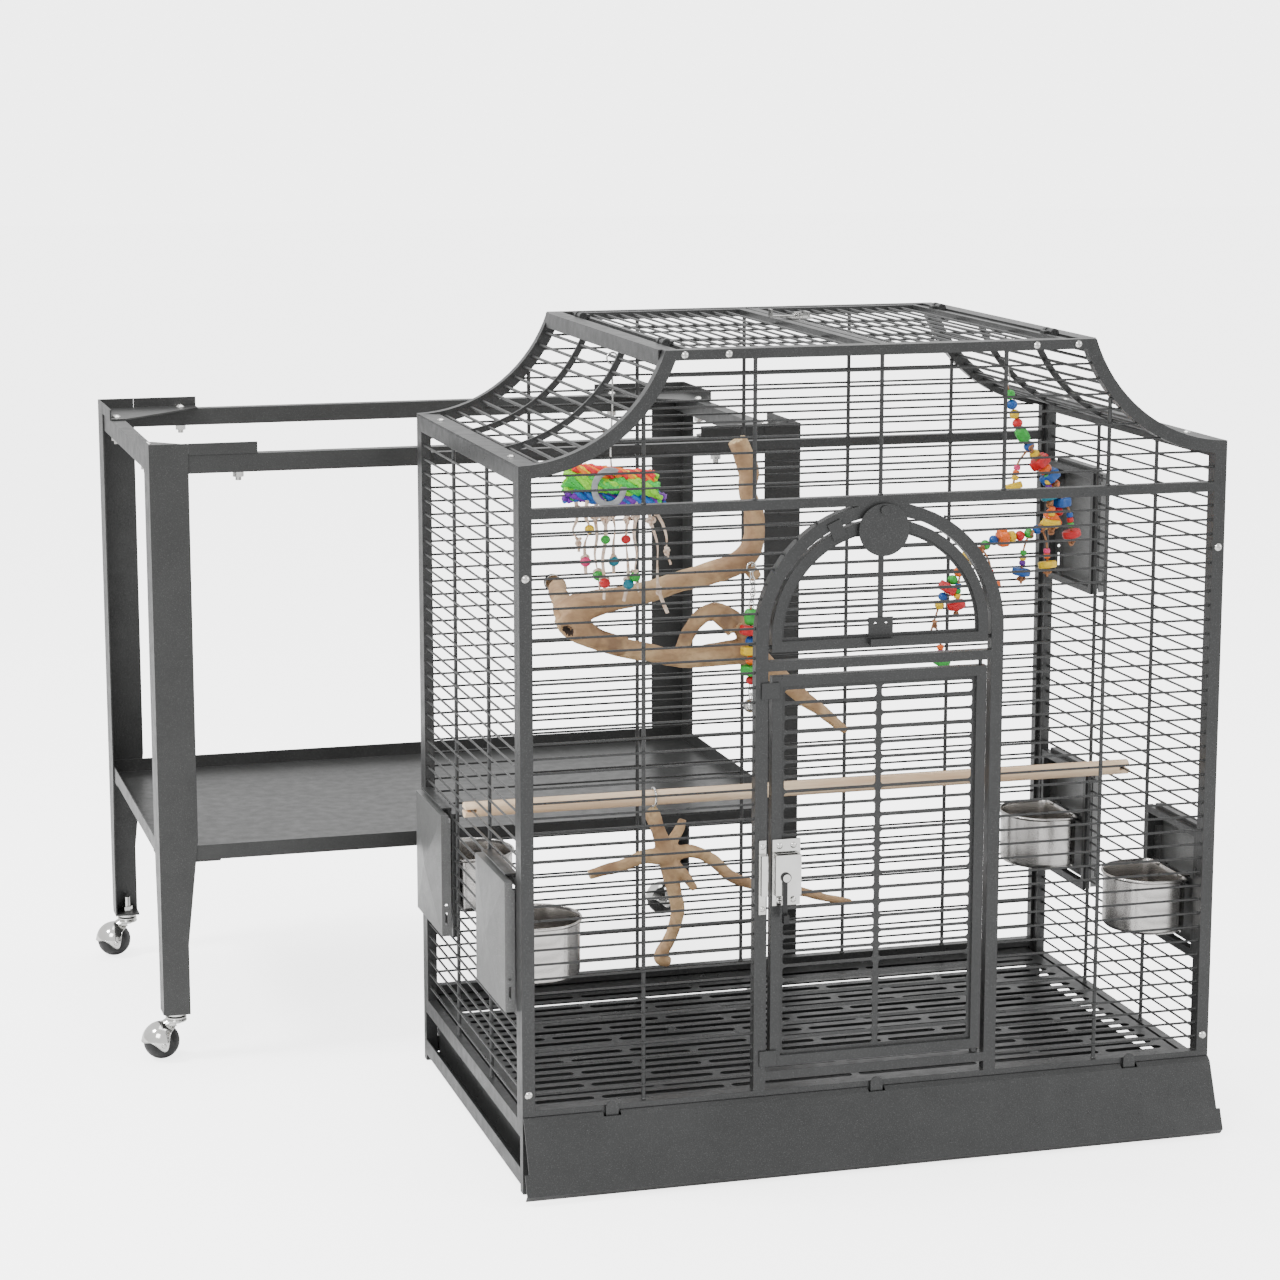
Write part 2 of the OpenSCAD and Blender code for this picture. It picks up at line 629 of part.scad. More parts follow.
module landing_door() {
  r0 = arch_door_r;
  r1 = r0 - door_tube;
  z0 = arch_door_z - arch_z;
  rows = round((r1 - z0 - door_tube - 4) / wire_pitch);
  step = (r1 - z0 - door_tube - 4) / rows;
  color(steel) at_cage() translate([mid_x, 0, arch_z]) {
    slab_xz(door_y, door_y + door_t) difference() {
      union() {
        intersection() {
          circle(r = r0, $fn = 96);
          translate([-r0, 0]) square([2 * r0, r0]);
        }
        translate([-r0, z0]) square([2 * r0, -z0 + 0.01]);
      }
      intersection() {
        circle(r = r1, $fn = 96);
        translate([-r1, z0 + door_tube]) square([2 * r1, r1 - z0]);
      }
    }
    slab_xz(door_y + 4, door_y + 5.6) difference() {
      intersection() {
        circle(r = r1 + 1, $fn = 96);
        translate([-r1, z0 + door_tube - 1]) square([2 * r1, r1 - z0 + 2]);
      }
      intersection() {
        circle(r = r1 - 3, $fn = 96);
        for (s = [-1, 1]) for (i = [0 : rows - 1]) {
          translate([s * (r1 / 2 + 3.5) - r1 / 2, z0 + door_tube + 2 + i * step + 1.8])
            square([r1, step - 3.6]);
        }
      }
    }
    // plate with two holes at the foot of the centre bar, and its turned-out lip
    difference() {
      box(-16, 16, door_y + 2.2, door_y + 4.1, z0 + door_tube - 1, z0 + door_tube + 24);
      for (x = [-7, 7]) rod_y(0, 8, x, z0 + door_tube + 16, 3.8);
    }
    box(-17, 17, -9, door_y + 1, z0 + 4, z0 + 6);
    box(-17, 17, -9.5, -8, z0 + 4, z0 + 12);
    // stop tab that laps over the arch
    rotate([0, -24.5, 0]) box(-9, 9, -2.6, -0.7, r0 - 8, r0 + door_gap + 9);
    rotate([0, -24.5, 0]) box(-9, 9, -1, 1, r0 - 8, r0 - 1);
    for (s = [-1, 1]) {
      rod_x(s > 0 ? r0 - 2 : -arch_in - 5, s > 0 ? arch_in + 5 : -r0 + 2, pin_y,
        hinge_z - arch_z, pin_d);
    }
  }
}
module lock_disc() {
  color(steel) at_cage() difference() {
    rod_y(disc_y, disc_y + disc_t, mid_x, disc_pivot_z - disc_drop, disc_d);
    rod_y(disc_y - 1, disc_y + disc_t + 1, mid_x, disc_pivot_z, 6 + 2 * pin_play);
  }
}

// ---------- cage: feeders ----------
module feeder_frame() {
  slab_yz(1, 1 + feed_t) difference() {
    square([feeder_w, feeder_h]);
    translate([feed_bar, feed_bar]) square([feeder_w - 2 * feed_bar, feeder_h - 2 * feed_bar]);
  }
  for (y = [4, feeder_w - 8]) cover_lug(y);
  box(0.6, 4, 16, feeder_w - 16, feeder_h - 6, feeder_h + 5);
  box(-9, 4, 16, feeder_w - 16, feeder_h + 3, feeder_h + 5);
}
module bowl_rail() {
  box(2, 4, feed_bar - 1, feeder_w - feed_bar + 1, bowl_z + bowl_h - 12, bowl_z + bowl_h - 1.9);
}
module feeder_frames() {
  color(steel) at_cage() {
    for (m = [false, true]) flip_x(m) for (y = [feed_y0, feed_y1]) {
      translate([0, y, feeder_z]) {
        feeder_frame();
        bowl_rail();
      }
    }
    flip_x(true) translate([0, feed_y1, feeder_hi_z]) feeder_frame();
  }
}
// lug inside the cover that carries its hinge pin
module cover_lug(y) {
  difference() {
    union() {
      rod_y(y, y + 4, cover_pin_x, cover_pin_z, 2 * cover_lug_r);
      box(cover_pin_x - cover_lug_r, cover_pin_x + 2.5, y, y + 4, cover_pin_z - 20, cover_pin_z);
      box(cover_pin_x, 3, y, y + 4, cover_pin_z - 20, cover_pin_z - 10);
    }
    rod_y(y - 1, y + 5, cover_pin_x, cover_pin_z, 4 + 2 * pin_play);
  }
}
module cover() {
  y0 = 1;
  y1 = 1 + cover_w;
  z1 = 2 + cover_h;
  half_w = cover_w / 2;
  half_h = cover_h / 2;
  rise = cover_rise;
  face_x = rise - cover_t - cover_gap;
  back_x = -cover_gap;
  difference() {
    union() {
      box(face_x, back_x, y0, y1, 2, z1);
      intersection() {
        translate([face_x, y0 + half_w, 0]) linear_extrude(z1)
          polygon([[0.5, -half_w], [0, -half_w], [-rise, 0], [0, half_w], [0.5, half_w]]);
        translate([face_x, y1, 2 + half_h]) rotate([90, 0, 0]) linear_extrude(cover_w)
          polygon([[0.5, -half_h], [0, -half_h], [-rise, 0], [0, half_h], [0.5, half_h]]);
      }
    }
    box(face_x + sheet, 2, y0 + sheet, y1 - sheet, -1, z1 - sheet);
    box(cover_pin_x + 3.6, 2, y0 - 1, y1 + 1, cover_pin_z - 4, z1 + 1);
    for (y = [y0 - 1, y1 - sheet - 1]) {
      box(-9, -6, y, y + sheet + 2, 16, 34);
      rod_y(y, y + sheet + 2, -7.5, 44, 4);
    }
  }
  for (y = [y0 + sheet - 0.5, y1 - sheet - 9.5]) rod_y(y, y + 10, cover_pin_x, cover_pin_z, 4);
}
module cover_at(right, y, z) {
  color(steel) at_cage() flip_x(right) translate([0, y, z]) cover();
}
module cover_left_front() { cover_at(false, feed_y0, feeder_z); }
module cover_left_rear() { cover_at(false, feed_y1, feeder_z); }
module cover_right_front() { cover_at(true, feed_y0, feeder_z); }
module cover_right_rear() { cover_at(true, feed_y1, feeder_z); }
module cover_right_upper() { cover_at(true, feed_y1, feeder_hi_z); }
module bowl_solid(grow, z0, z1) {
  translate([0, 0, z0]) linear_extrude(z1 - z0) intersection() {
    translate([bowl_flat, 0]) circle(r = bowl_w / 2 + 3 + grow, $fn = 72);
    translate([-grow, -bowl_w / 2 - grow]) square([2 * bowl_w, bowl_w + 2 * grow]);
  }
}
module bowl() {
  difference() {
    union() {
      bowl_solid(0, 0, bowl_h);
      bowl_solid(2.5, bowl_h - 1.6, bowl_h);
    }
    bowl_solid(-1.2, 1.2, bowl_h + 1);
  }
  for (y = [-34, 34]) {
    box(-12.4, 0.5, y - 6, y + 6, bowl_h - 1.6, bowl_h);
    box(-12.4, -11.2, y - 6, y + 6, bowl_h - 11, bowl_h - 1);
  }
}
module bowl_at(right, y) {
  color(chrome) at_cage() flip_x(right)
    translate([12.6, y + feeder_w / 2, feeder_z + bowl_z]) bowl();
}
module bowl_left_front() { bowl_at(false, feed_y0); }
module bowl_left_rear() { bowl_at(false, feed_y1); }
module bowl_right_front() { bowl_at(true, feed_y0); }
module bowl_right_rear() { bowl_at(true, feed_y1); }

// ---------- cage: perches and toys ----------
module perch() {
  color(pale) at_cage() difference() {
    rod_x(-perch_x, cage_w + perch_x, cage_d / 2, perch_z, perch_d);
    for (m = [false, true]) flip_x(m) {
      box(-perch_x - 1, 9.5, cage_d / 2 - perch_d, cage_d / 2 + perch_d, perch_z - 2, perch_z + 2);
    }
  }
}
// the branches are drawn with flat-sided limbs
bark_n = 10;
module branches() {
  yb = cage_d / 2 + 20;
  yl = cage_d / 2;
  up = [[372, yb, 880], [390, yb, 780], [377, yb - 6, 728], [235, yb - 4, 688], [134, yb, 668]];
  low = [[140, yb - 8, 655], [208, yb - 4, 618], [303, yb, 600], [386, yb + 6, 604],
    [526, yb + 12, 486]];
  hub = [268, yl, 340];
  foot = [185, cage_d - 34, sill_z + 30.5 * low_step];
  eye_z = perch_z - 12.4;
  color(wood) at_cage() {
    for (i = [0 : len(up) - 2]) limb(up[i], up[i + 1], 13, bark_n);
    for (i = [0 : len(up) - 1]) knot(up[i], 14.5, bark_n);
    for (i = [0 : len(low) - 2]) limb(low[i], low[i + 1], 13.5, bark_n);
    for (i = [1 : len(low) - 1]) knot(low[i], 15, bark_n);
    limb([303, yb, 600], [334, yb + 2, 656], 11, bark_n);
    limb([334, yb + 2, 656], [386, yb + 6, 612], 11.5, bark_n);
    knot([334, yb + 2, 656], 12.6, bark_n);
    limb(up[4], foot, 12, bark_n);
    limb(hub, [249, yl, eye_z - 12], 10, bark_n);
    limb(hub, [161, yl, 322], 9, bark_n);
    limb(hub, [360, yl, 298], 9, bark_n);
    limb([360, yl, 298], [524, yl, 258], 8, bark_n);
    limb(hub, [270, yl, 197], 9, bark_n);
    knot(hub, 15, bark_n);
    knot([360, yl, 298], 11, bark_n);
  }
  color(chrome) at_cage() {
    rod_y(foot[1] - 20, cage_d + 4, foot[0], foot[2], 5);
    rod_y(foot[1] - 4, cage_d - 10.5, foot[0], foot[2], 14);
    rod_y(cage_d - 5, cage_d - 3, foot[0], foot[2], 22);
    rod_y(hook[1] - 5, hook[1] + 20, hook[0], hook[2], 3.2);
    knot([hook[0], hook[1] - 5, hook[2]], 3, bark_n);
    rod_z(eye_z - 18, eye_z + 0.4, 249, yl, 3.2);
    translate([249, yl, perch_z]) rotate([0, 90, 0]) rotate_extrude($fn = 48)
      translate([12.4, 0]) circle(r = 1.6, $fn = 16);
  }
}
// pin on the branch that the chain toy hangs on
hook = [377, cage_d / 2 - 13, 724];
module ring_at(p, r, t) {
  translate(p) rotate([90, 0, 0]) rotate_extrude($fn = 48) translate([r, 0]) circle(r = t, $fn = 16);
}
rope_y = 215;
module toy_rope() {
  p = [slat_x + 5, rope_y, 862];
  color([0.2, 0.5, 0.2]) at_cage() {
    ring_at([p[0] - 14, p[1], p[2] - 22], 20, 3.4);
    for (k = [0 : 3]) {
      rod_x(p[0] - 62 + 2 * k, p[0] + 52 - 2 * k, p[1] + 9, p[2] - 8 - 12 * k, 15);
    }
    for (k = [0 : 5]) {
      rod_z(p[2] - 196 + 9 * (k % 3), p[2] - 40, p[0] - 50 + 19 * k, p[1] + 9, 5);
      knot([p[0] - 50 + 19 * k, p[1] + 9, p[2] - 120 - 12 * (k % 3)], 8.5);
    }
    rod_z(p[2] - 30, slat_z - 8.6, slat_x, p[1] + 9, 4);
    ring_at([slat_x, p[1] + 9, slat_z - 2.5], 7, 1.5);
  }
}
beads_x = cage_w - slat_x;
beads_y = cage_d / 2 + 10;
module toy_beads() {
  path = [[0, 945], [22, 880], [80, 790], [42, 748], [-23, 735], [-78, 680], [-102, 620]];
  color([0.75, 0.2, 0.2]) at_cage() {
    for (i = [0 : len(path) - 2]) {
      a = [beads_x + path[i][0], beads_y, path[i][1]];
      b = [beads_x + path[i + 1][0], beads_y, path[i + 1][1]];
      limb(a, b, 2.4, bark_n);
      for (t = [0.2, 0.42, 0.64]) limb(a + (b - a) * t, a + (b - a) * (t + 0.16), 11 - 4 * t, bark_n);
    }
    for (p = path) knot([beads_x + p[0], beads_y, p[1]], 6.5, bark_n);
    rod_z(943, slat_z - 8.6, beads_x, beads_y, 4);
    ring_at([beads_x, beads_y, slat_z - 2.5], 7, 1.5);
  }
}
module toy_chain() {
  color([0.2, 0.6, 0.25]) at_cage() {
    rod_z(546, hook[2] - 8, hook[0], hook[1], 4);
    for (k = [0 : 3]) translate([hook[0], hook[1], 650 - 26 * k])
      rotate([0, 0, 30 * k]) cube([24, 24, 16], center = true);
    ring_at([hook[0], hook[1], 538], 9, 1.8);
    ring_at([hook[0], hook[1], hook[2] - 2.6], 6, 1.3);
  }
}

// ---------- stand ----------
module stand_corner(mx, my) {
  translate([mx ? stand_w : 0, my ? stand_d : 0, 0])
    mirror([mx ? 1 : 0, 0, 0]) mirror([0, my ? 1 : 0, 0]) children();
}
module leg_side() {
  polygon([[0, foot_z + 8], [4, foot_z], [leg_foot_w, foot_z], [leg_foot_w, foot_z + 100],
    [leg_w, shelf_z + 8], [leg_w, stand_h], [0, stand_h]]);
}
module leg() {
  slab_xz(0, steel_t) leg_side();
  slab_yz(0, steel_t) leg_side();
  difference() {
    box(steel_t - 0.5, leg_foot_w - 1, steel_t - 0.5, leg_foot_w - 1, foot_z, foot_z + 3);
    rod_z(foot_z - 1, foot_z + 4, stem_in, stem_in, 10.4);
  }
}
module leg_front_left() { color(steel) at_stand() stand_corner(false, false) leg(); }
module leg_front_right() { color(steel) at_stand() stand_corner(true, false) leg(); }
module leg_rear_left() { color(steel) at_stand() stand_corner(false, true) leg(); }
module leg_rear_right() { color(steel) at_stand() stand_corner(true, true) leg(); }
rail_top = stand_h - 16;
rail_low = rail_top - 25;
rail_in = steel_t + 0.3;
rail_t = 20;
bolt_at = 122;
module rail_cut(x, y) { rod_z(rail_low - 1, rail_top + 1, x, y, 8.4); }
module rails_long() {
  color(steel) at_stand() for (my = [false, true]) stand_corner(false, my) difference() {
    box(rail_in, stand_w - rail_in, rail_in, rail_in + rail_t, rail_low, rail_top);
    for (x = [bolt_at, stand_w - bolt_at]) rail_cut(x, rail_in + rail_t / 2);
  }
}
module rails_short() {
  y0 = rail_in + rail_t + 0.3;
  color(steel) at_stand() for (mx = [false, true]) stand_corner(mx, false) difference() {
    box(rail_in, rail_in + rail_t, y0, stand_d - y0, rail_low, rail_top);
    for (y = [bolt_at, stand_d - bolt_at]) rail_cut(rail_in + rail_t / 2, y);
  }
}
arm = 147;
module bracket() {
  difference() {
    union() {
      translate([0, 0, rail_top + 0.2]) linear_extrude(steel_t) difference() {
        polygon([[rail_in, rail_in], [arm, rail_in], [arm, rail_in + 22], [rail_in + 22, arm],
          [rail_in, arm]]);
        translate([arm + 120, arm + 120]) circle(r = 195, $fn = 96);
      }
      box(leg_w + 0.5, arm, 0.2, rail_in + 0.2, rail_top + 0.2, stand_h);
      box(0.2, rail_in + 0.2, leg_w + 0.5, arm, rail_top + 0.2, stand_h);
    }
    rod_z(rail_top - 1, rail_top + 5, bolt_at, rail_in + rail_t / 2, 8.4);
    rod_z(rail_top - 1, rail_top + 5, rail_in + rail_t / 2, bolt_at, 8.4);
  }
}
module corner_brackets() {
  color(steel) at_stand() for (mx = [false, true]) for (my = [false, true]) {
    stand_corner(mx, my) bracket();
  }
}
module stand_bolt() {
  rod_z(rail_low - 12, rail_top + 3, 0, 0, 8);
  translate([0, 0, rail_top + steel_t + 0.3]) screw_head(14, 4);
  translate([0, 0, rail_low - 7.3]) cylinder(h = 7, d = 15, $fn = 6);
}
module stand_bolts() {
  color(chrome) at_stand() for (mx = [false, true]) for (my = [false, true]) {
    stand_corner(mx, my) {
      translate([bolt_at, rail_in + rail_t / 2, 0]) stand_bolt();
      translate([rail_in + rail_t / 2, bolt_at, 0]) stand_bolt();
    }
  }
}
module shelf() {
  i = steel_t + 0.3;
  color(steel) at_stand() difference() {
    box(i, stand_w - i, i, stand_d - i, shelf_z - 21, shelf_z);
    box(i + sheet, stand_w - i - sheet, i + sheet, stand_d - i - sheet, shelf_z - 21 + sheet,
      shelf_z + 1);
  }
}
module shelf_gussets() {
  i = steel_t + 0.3;
  color(steel) at_stand() for (mx = [false, true]) for (my = [false, true]) {
    stand_corner(mx, my) {
      translate([0, 0, shelf_z - 21 - steel_t - 0.2]) linear_extrude(steel_t)
        polygon([[i, i], [i + 82, i], [i + 82, i + 12], [i + 12, i + 82], [i, i + 82]]);
      box(i, i + 36, i, i + 2, shelf_z - 34, shelf_z - 22.4);
      box(i, i + 2, i, i + 36, shelf_z - 34, shelf_z - 22.4);
    }
  }
}
module caster_stems() {
  color(chrome) at_stand() for (mx = [false, true]) for (my = [false, true]) {
    stand_corner(mx, my) translate([stem_in, stem_in, 0]) {
      rod_z(ball_d + 0.8, foot_z + 26, 0, 0, 10);
      rod_z(ball_d - 1, ball_d + 1.4, 0, 0, 14);
      rod_z(ball_d + 10.4, foot_z - 0.2, 0, 0, 24);
      translate([0, 0, foot_z + 3.2]) cylinder(h = 8, d = 17, $fn = 6);
    }
  }
}
// hood of a ball caster; its ball stands off to -X of the stem
module hood() {
  difference() {
    union() {
      translate([-caster_off, 0, wheel_r]) difference() {
        sphere(r = hood_r, $fn = 64);
        rotate([0, -30, 0]) translate([-60, -60, -126]) cube([120, 120, 120]);
      }
      rod_z(ball_d + 1.8, ball_d + 10, 0, 0, 30);
      intersection() {
        box(-caster_off, 0, -9, 9, wheel_r, ball_d + 8);
        translate([-caster_off, 0, wheel_r]) sphere(r = wheel_r + 9, $fn = 64);
      }
    }
    translate([-caster_off, 0, wheel_r]) sphere(r = wheel_r + 1.2, $fn = 64);
    rod_z(ball_d - 6, ball_d + 12, 0, 0, 10 + 2 * pin_play);
    translate([0, 0, ball_d - 14]) cylinder(h = 15.8, d = 17, $fn = 48);
  }
  rod_y(-wheel_r - 2.5, wheel_r + 2.5, -caster_off, wheel_r, 6);
}
module ball() {
  translate([-caster_off, 0, wheel_r]) difference() {
    sphere(r = wheel_r, $fn = 64);
    for (s = [-1, 1]) {
      translate([0, s * (wheel_r + 11), 0]) cube([80, 30, 80], center = true);
    }
    rod_y(-40, 40, 0, 0, 6 + 2 * pin_play);
    rotate([90, 0, 0]) rotate_extrude($fn = 64) translate([wheel_r, 0]) square([3, 2.4], center = true);
  }
}
module at_stem(mx, my) {
  at_stand() translate([mx ? stand_w - stem_in : stem_in, my ? stand_d - stem_in : stem_in, 0])
    children();
}
module caster_hood_fl() { color(chrome) at_stem(false, false) hood(); }
module caster_hood_fr() { color(chrome) at_stem(true, false) hood(); }
module caster_hood_rl() { color(chrome) at_stem(false, true) hood(); }
module caster_hood_rr() { color(chrome) at_stem(true, true) hood(); }
module wheel_fl() { color(black) at_stem(false, false) ball(); }
module wheel_fr() { color(black) at_stem(true, false) ball(); }
module wheel_rl() { color(black) at_stem(false, true) ball(); }
module wheel_rr() { color(black) at_stem(true, true) ball(); }

leg_front_left();
leg_front_right();
leg_rear_left();
leg_rear_right();
rails_long();
rails_short();
corner_brackets();
stand_bolts();
shelf();
shelf_gussets();
caster_stems();
caster_hood_fl();
caster_hood_fr();
caster_hood_rl();
caster_hood_rr();
wheel_fl();
wheel_fr();
wheel_rl();
wheel_rr();
front_frame();
front_bars();
rear_frame();
rear_bars();
side_frame_left();
side_bars_left();
side_frame_right();
side_bars_right();
roof_curve_left();
roof_curve_right();
roof_frame();
roof_flap_left();
roof_flap_right();
roof_catch();
roof_lever();
base_rails();
grate();
tray();
skirt();
assembly_screws();
door();
door_catch();
door_lever();
catch_keeper();
landing_door();
lock_disc();
feeder_frames();
cover_left_front();
cover_left_rear();
cover_right_front();
cover_right_rear();
cover_right_upper();
bowl_left_front();
bowl_left_rear();
bowl_right_front();
bowl_right_rear();
perch();
branches();
toy_rope();
toy_beads();
toy_chain();
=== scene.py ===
import bpy
import json
import math
import random
from mathutils import Matrix, Vector, noise


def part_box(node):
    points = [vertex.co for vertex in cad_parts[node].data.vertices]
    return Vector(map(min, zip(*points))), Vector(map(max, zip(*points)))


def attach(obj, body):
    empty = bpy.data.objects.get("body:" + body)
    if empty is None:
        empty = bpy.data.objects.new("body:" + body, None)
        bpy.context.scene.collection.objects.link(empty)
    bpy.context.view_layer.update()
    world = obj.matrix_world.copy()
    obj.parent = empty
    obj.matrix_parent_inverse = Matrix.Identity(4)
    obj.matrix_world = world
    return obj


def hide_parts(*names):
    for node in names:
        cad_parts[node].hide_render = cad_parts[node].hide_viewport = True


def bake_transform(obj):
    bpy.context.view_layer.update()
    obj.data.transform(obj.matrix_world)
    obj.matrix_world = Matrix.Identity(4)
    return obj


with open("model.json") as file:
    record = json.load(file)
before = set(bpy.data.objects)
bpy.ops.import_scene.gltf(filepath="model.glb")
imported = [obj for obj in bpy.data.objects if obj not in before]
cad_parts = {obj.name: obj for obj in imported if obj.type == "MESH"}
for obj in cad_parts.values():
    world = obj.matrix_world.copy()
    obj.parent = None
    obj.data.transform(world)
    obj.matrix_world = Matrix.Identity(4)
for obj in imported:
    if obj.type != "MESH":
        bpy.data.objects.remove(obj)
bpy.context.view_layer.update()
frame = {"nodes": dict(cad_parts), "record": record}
NODES = frame["nodes"]

# ---- sizes in millimetres, the same as the CAD's ------------------------------------------
# cage: width, depth, height of the shoulders and of the roof
CAGE_W, CAGE_D, SHOULDER_Z, CAGE_H = 915.0, 570.0, 901.0, 1033.0
# posts, rails, thickness of the frames, radius of the hollow roof side
POST_W, RAIL_H, FRAME_T, OGEE_R = 16.0, 12.0, 14.0, 194.0
# top of the sill, radius and centre height of the arch
SILL_Z, ARCH_R, ARCH_Z = 106.0, 161.5, 678.5
# gap at wire ends, thickness of level and upright wires
LEVEL_GAP, WIRE_D, UPRIGHT_D = 0.3, 3.0, 5.0
# aimed-at spacing of the level wires, and the shortest wire that gets welds
PITCH, SHORTEST_WELDED = 18.3, 12
MID_X = CAGE_W / 2
OGEE_X, OGEE_Z, OGEE_IN = -3.0, SHOULDER_Z + OGEE_R, OGEE_R + POST_W
RAIL_DROP = 2.7  # the middle rail starts this far, and the gap, under the arch top
MID_Z = ARCH_Z + ARCH_R - LEVEL_GAP - RAIL_DROP
ROOF_IN_Z = CAGE_H - RAIL_H
LOW_COUNT = round((MID_Z - SILL_Z) / PITCH)
LOW_STEP = (MID_Z - SILL_Z) / LOW_COUNT
TOP_COUNT = round((ROOF_IN_Z - MID_Z - RAIL_H) / PITCH)
TOP_STEP = (ROOF_IN_Z - MID_Z - RAIL_H) / TOP_COUNT

# ---- places: the cage's and the stand's corners, from the CAD nodes -------------------
rear_lo, rear_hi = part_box("rear_frame")
CAGE = Vector((rear_lo.x, rear_hi.y - CAGE_D / 1000, 0))
leg_lo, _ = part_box("leg_front_left")
STAND = Vector((leg_lo.x, leg_lo.y, 0))


def at_cage(x, y, z):
    """A point given in millimetres from the cage's front left foot."""
    return CAGE + Vector((x, y, z)) / 1000


# ---- materials -----------------------------------------------------------------------
def lin(c):
    """Display colour to linear."""
    return tuple(v / 12.92 if v <= 0.04045 else ((v + 0.055) / 1.055) ** 2.4 for v in c)


def col(r, g, b):
    return (*lin((r, g, b)), 1.0)


class Mat:
    """A principled material with small helpers for procedural detail."""

    def __init__(self, name, base, rough=0.5, metal=0.0):
        self.m = bpy.data.materials.new(name)
        self.m.use_nodes = True
        self.nt = self.m.node_tree
        self.p = self.nt.nodes["Principled BSDF"]
        self.p.inputs["Base Color"].default_value = base
        self.p.inputs["Roughness"].default_value = rough
        self.p.inputs["Metallic"].default_value = metal
        self.m.diffuse_color = base
        self.coord = self.nt.nodes.new("ShaderNodeTexCoord")
        self.normal = None

    def n(self, kind, **values):
        node = self.nt.nodes.new(kind)
        for k, v in values.items():
            if k in node.inputs:
                node.inputs[k].default_value = v
            else:
                setattr(node, k, v)
        return node

    def link(self, a, b):
        self.nt.links.new(a, b)

    def mapped(self, scale=(1, 1, 1), rot=(0, 0, 0)):
        m = self.n("ShaderNodeMapping")
        m.inputs["Scale"].default_value = scale
        m.inputs["Rotation"].default_value = rot
        self.link(self.coord.outputs["Object"], m.inputs["Vector"])
        return m.outputs["Vector"]

    def noise(self, scale, detail=3.0, rough=0.5, vector=None, distortion=0.0):
        t = self.n("ShaderNodeTexNoise", Scale=scale, Detail=detail, Roughness=rough,
            Distortion=distortion)
        self.link(vector or self.coord.outputs["Object"], t.inputs["Vector"])
        return t.outputs["Fac"]

    def voronoi(self, scale):
        t = self.n("ShaderNodeTexVoronoi", Scale=scale)
        self.link(self.coord.outputs["Object"], t.inputs["Vector"])
        return t.outputs["Distance"]

    def ramp(self, fac, stops):
        r = self.n("ShaderNodeValToRGB")
        e = r.color_ramp.elements
        while len(e) < len(stops):
            e.new(0.5)
        for el, (pos, c) in zip(e, stops):
            el.position = pos
            el.color = c if len(c) == 4 else (*c, 1)
        self.link(fac, r.inputs["Fac"])
        return r.outputs["Color"]

    def maprange(self, fac, a, b, lo, hi):
        r = self.n("ShaderNodeMapRange")
        r.inputs["From Min"].default_value = a
        r.inputs["From Max"].default_value = b
        r.inputs["To Min"].default_value = lo
        r.inputs["To Max"].default_value = hi
        self.link(fac, r.inputs["Value"])
        return r.outputs["Result"]

    def mix(self, fac, a, b, mode="MIX"):
        m = self.n("ShaderNodeMix")
        m.data_type = "RGBA"
        m.blend_type = mode
        for sock, v in ((m.inputs[6], a), (m.inputs[7], b)):
            if hasattr(v, "links"):
                self.link(v, sock)
            else:
                sock.default_value = v
        if hasattr(fac, "links"):
            self.link(fac, m.inputs[0])
        else:
            m.inputs[0].default_value = fac
        return m.outputs[2]

    def base(self, out):
        self.link(out, self.p.inputs["Base Color"])

    def rough(self, out):
        self.link(out, self.p.inputs["Roughness"])

    def bump(self, fac, strength, dist):
        b = self.n("ShaderNodeBump")
        b.inputs["Strength"].default_value = strength
        b.inputs["Distance"].default_value = dist
        self.link(fac, b.inputs["Height"])
        if self.normal is not None:
            self.link(self.normal, b.inputs["Normal"])
        self.normal = b.outputs["Normal"]
        self.link(self.normal, self.p.inputs["Normal"])

    def edges(self, radius):
        b = self.n("ShaderNodeBevel")
        b.samples = 4
        b.inputs["Radius"].default_value = radius
        self.normal = b.outputs["Normal"]
        self.link(self.normal, self.p.inputs["Normal"])


def coat(name, dark, light, rough_lo, rough_hi):
    """Hammered powder coat: fine pits, light flecks and slow cloudy changes."""
    m = Mat(name, dark, 0.4, 0.4)
    m.edges(0.0009)
    cloud = m.noise(14, 3)
    fleck = m.noise(950, 2, 0.6)
    pits = m.voronoi(520)
    c = m.mix(m.maprange(cloud, 0.3, 0.7, 0.0, 0.5), dark, light)
    c = m.mix(m.maprange(fleck, 0.56, 0.72, 0.0, 0.6), c,
        tuple(min(1, v * 2.6) for v in light[:3]) + (1,))
    m.base(c)
    m.rough(m.maprange(m.noise(60, 4), 0.3, 0.7, rough_lo, rough_hi))
    m.bump(pits, 0.35, 0.00025)
    m.bump(m.noise(900, 3), 0.2, 0.0001)
    return m.m


M = {}
M["coat"] = coat("powder_coat", col(0.20, 0.202, 0.202), col(0.24, 0.242, 0.242), 0.27, 0.4)
M["coat_wire"] = coat("wire_coat", col(0.20, 0.202, 0.202), col(0.24, 0.242, 0.242), 0.24, 0.36)
M["coat_stand"] = coat("stand_coat", col(0.205, 0.207, 0.205), col(0.25, 0.252, 0.25), 0.3, 0.42)
# the feeder covers get a lighter copy of the powder coat: painted light, standing in for the light
# from the left on their faces
M["coat_cover"] = coat("cover_coat_painted_light", col(0.37, 0.372, 0.37), col(0.44, 0.442, 0.44), 0.3, 0.4)

m = Mat("chrome", col(0.84, 0.84, 0.83), 0.1, 1.0)
m.edges(0.0004)
m.rough(m.maprange(m.noise(300, 4, vector=m.mapped((1, 1, 12))), 0.3, 0.75, 0.06, 0.2))
m.base(m.mix(m.maprange(m.noise(45, 3), 0.35, 0.7, 0, 0.35), col(0.86, 0.86, 0.85),
    col(0.72, 0.71, 0.69)))
m.bump(m.noise(700, 2), 0.05, 0.00005)
M["chrome"] = m.m

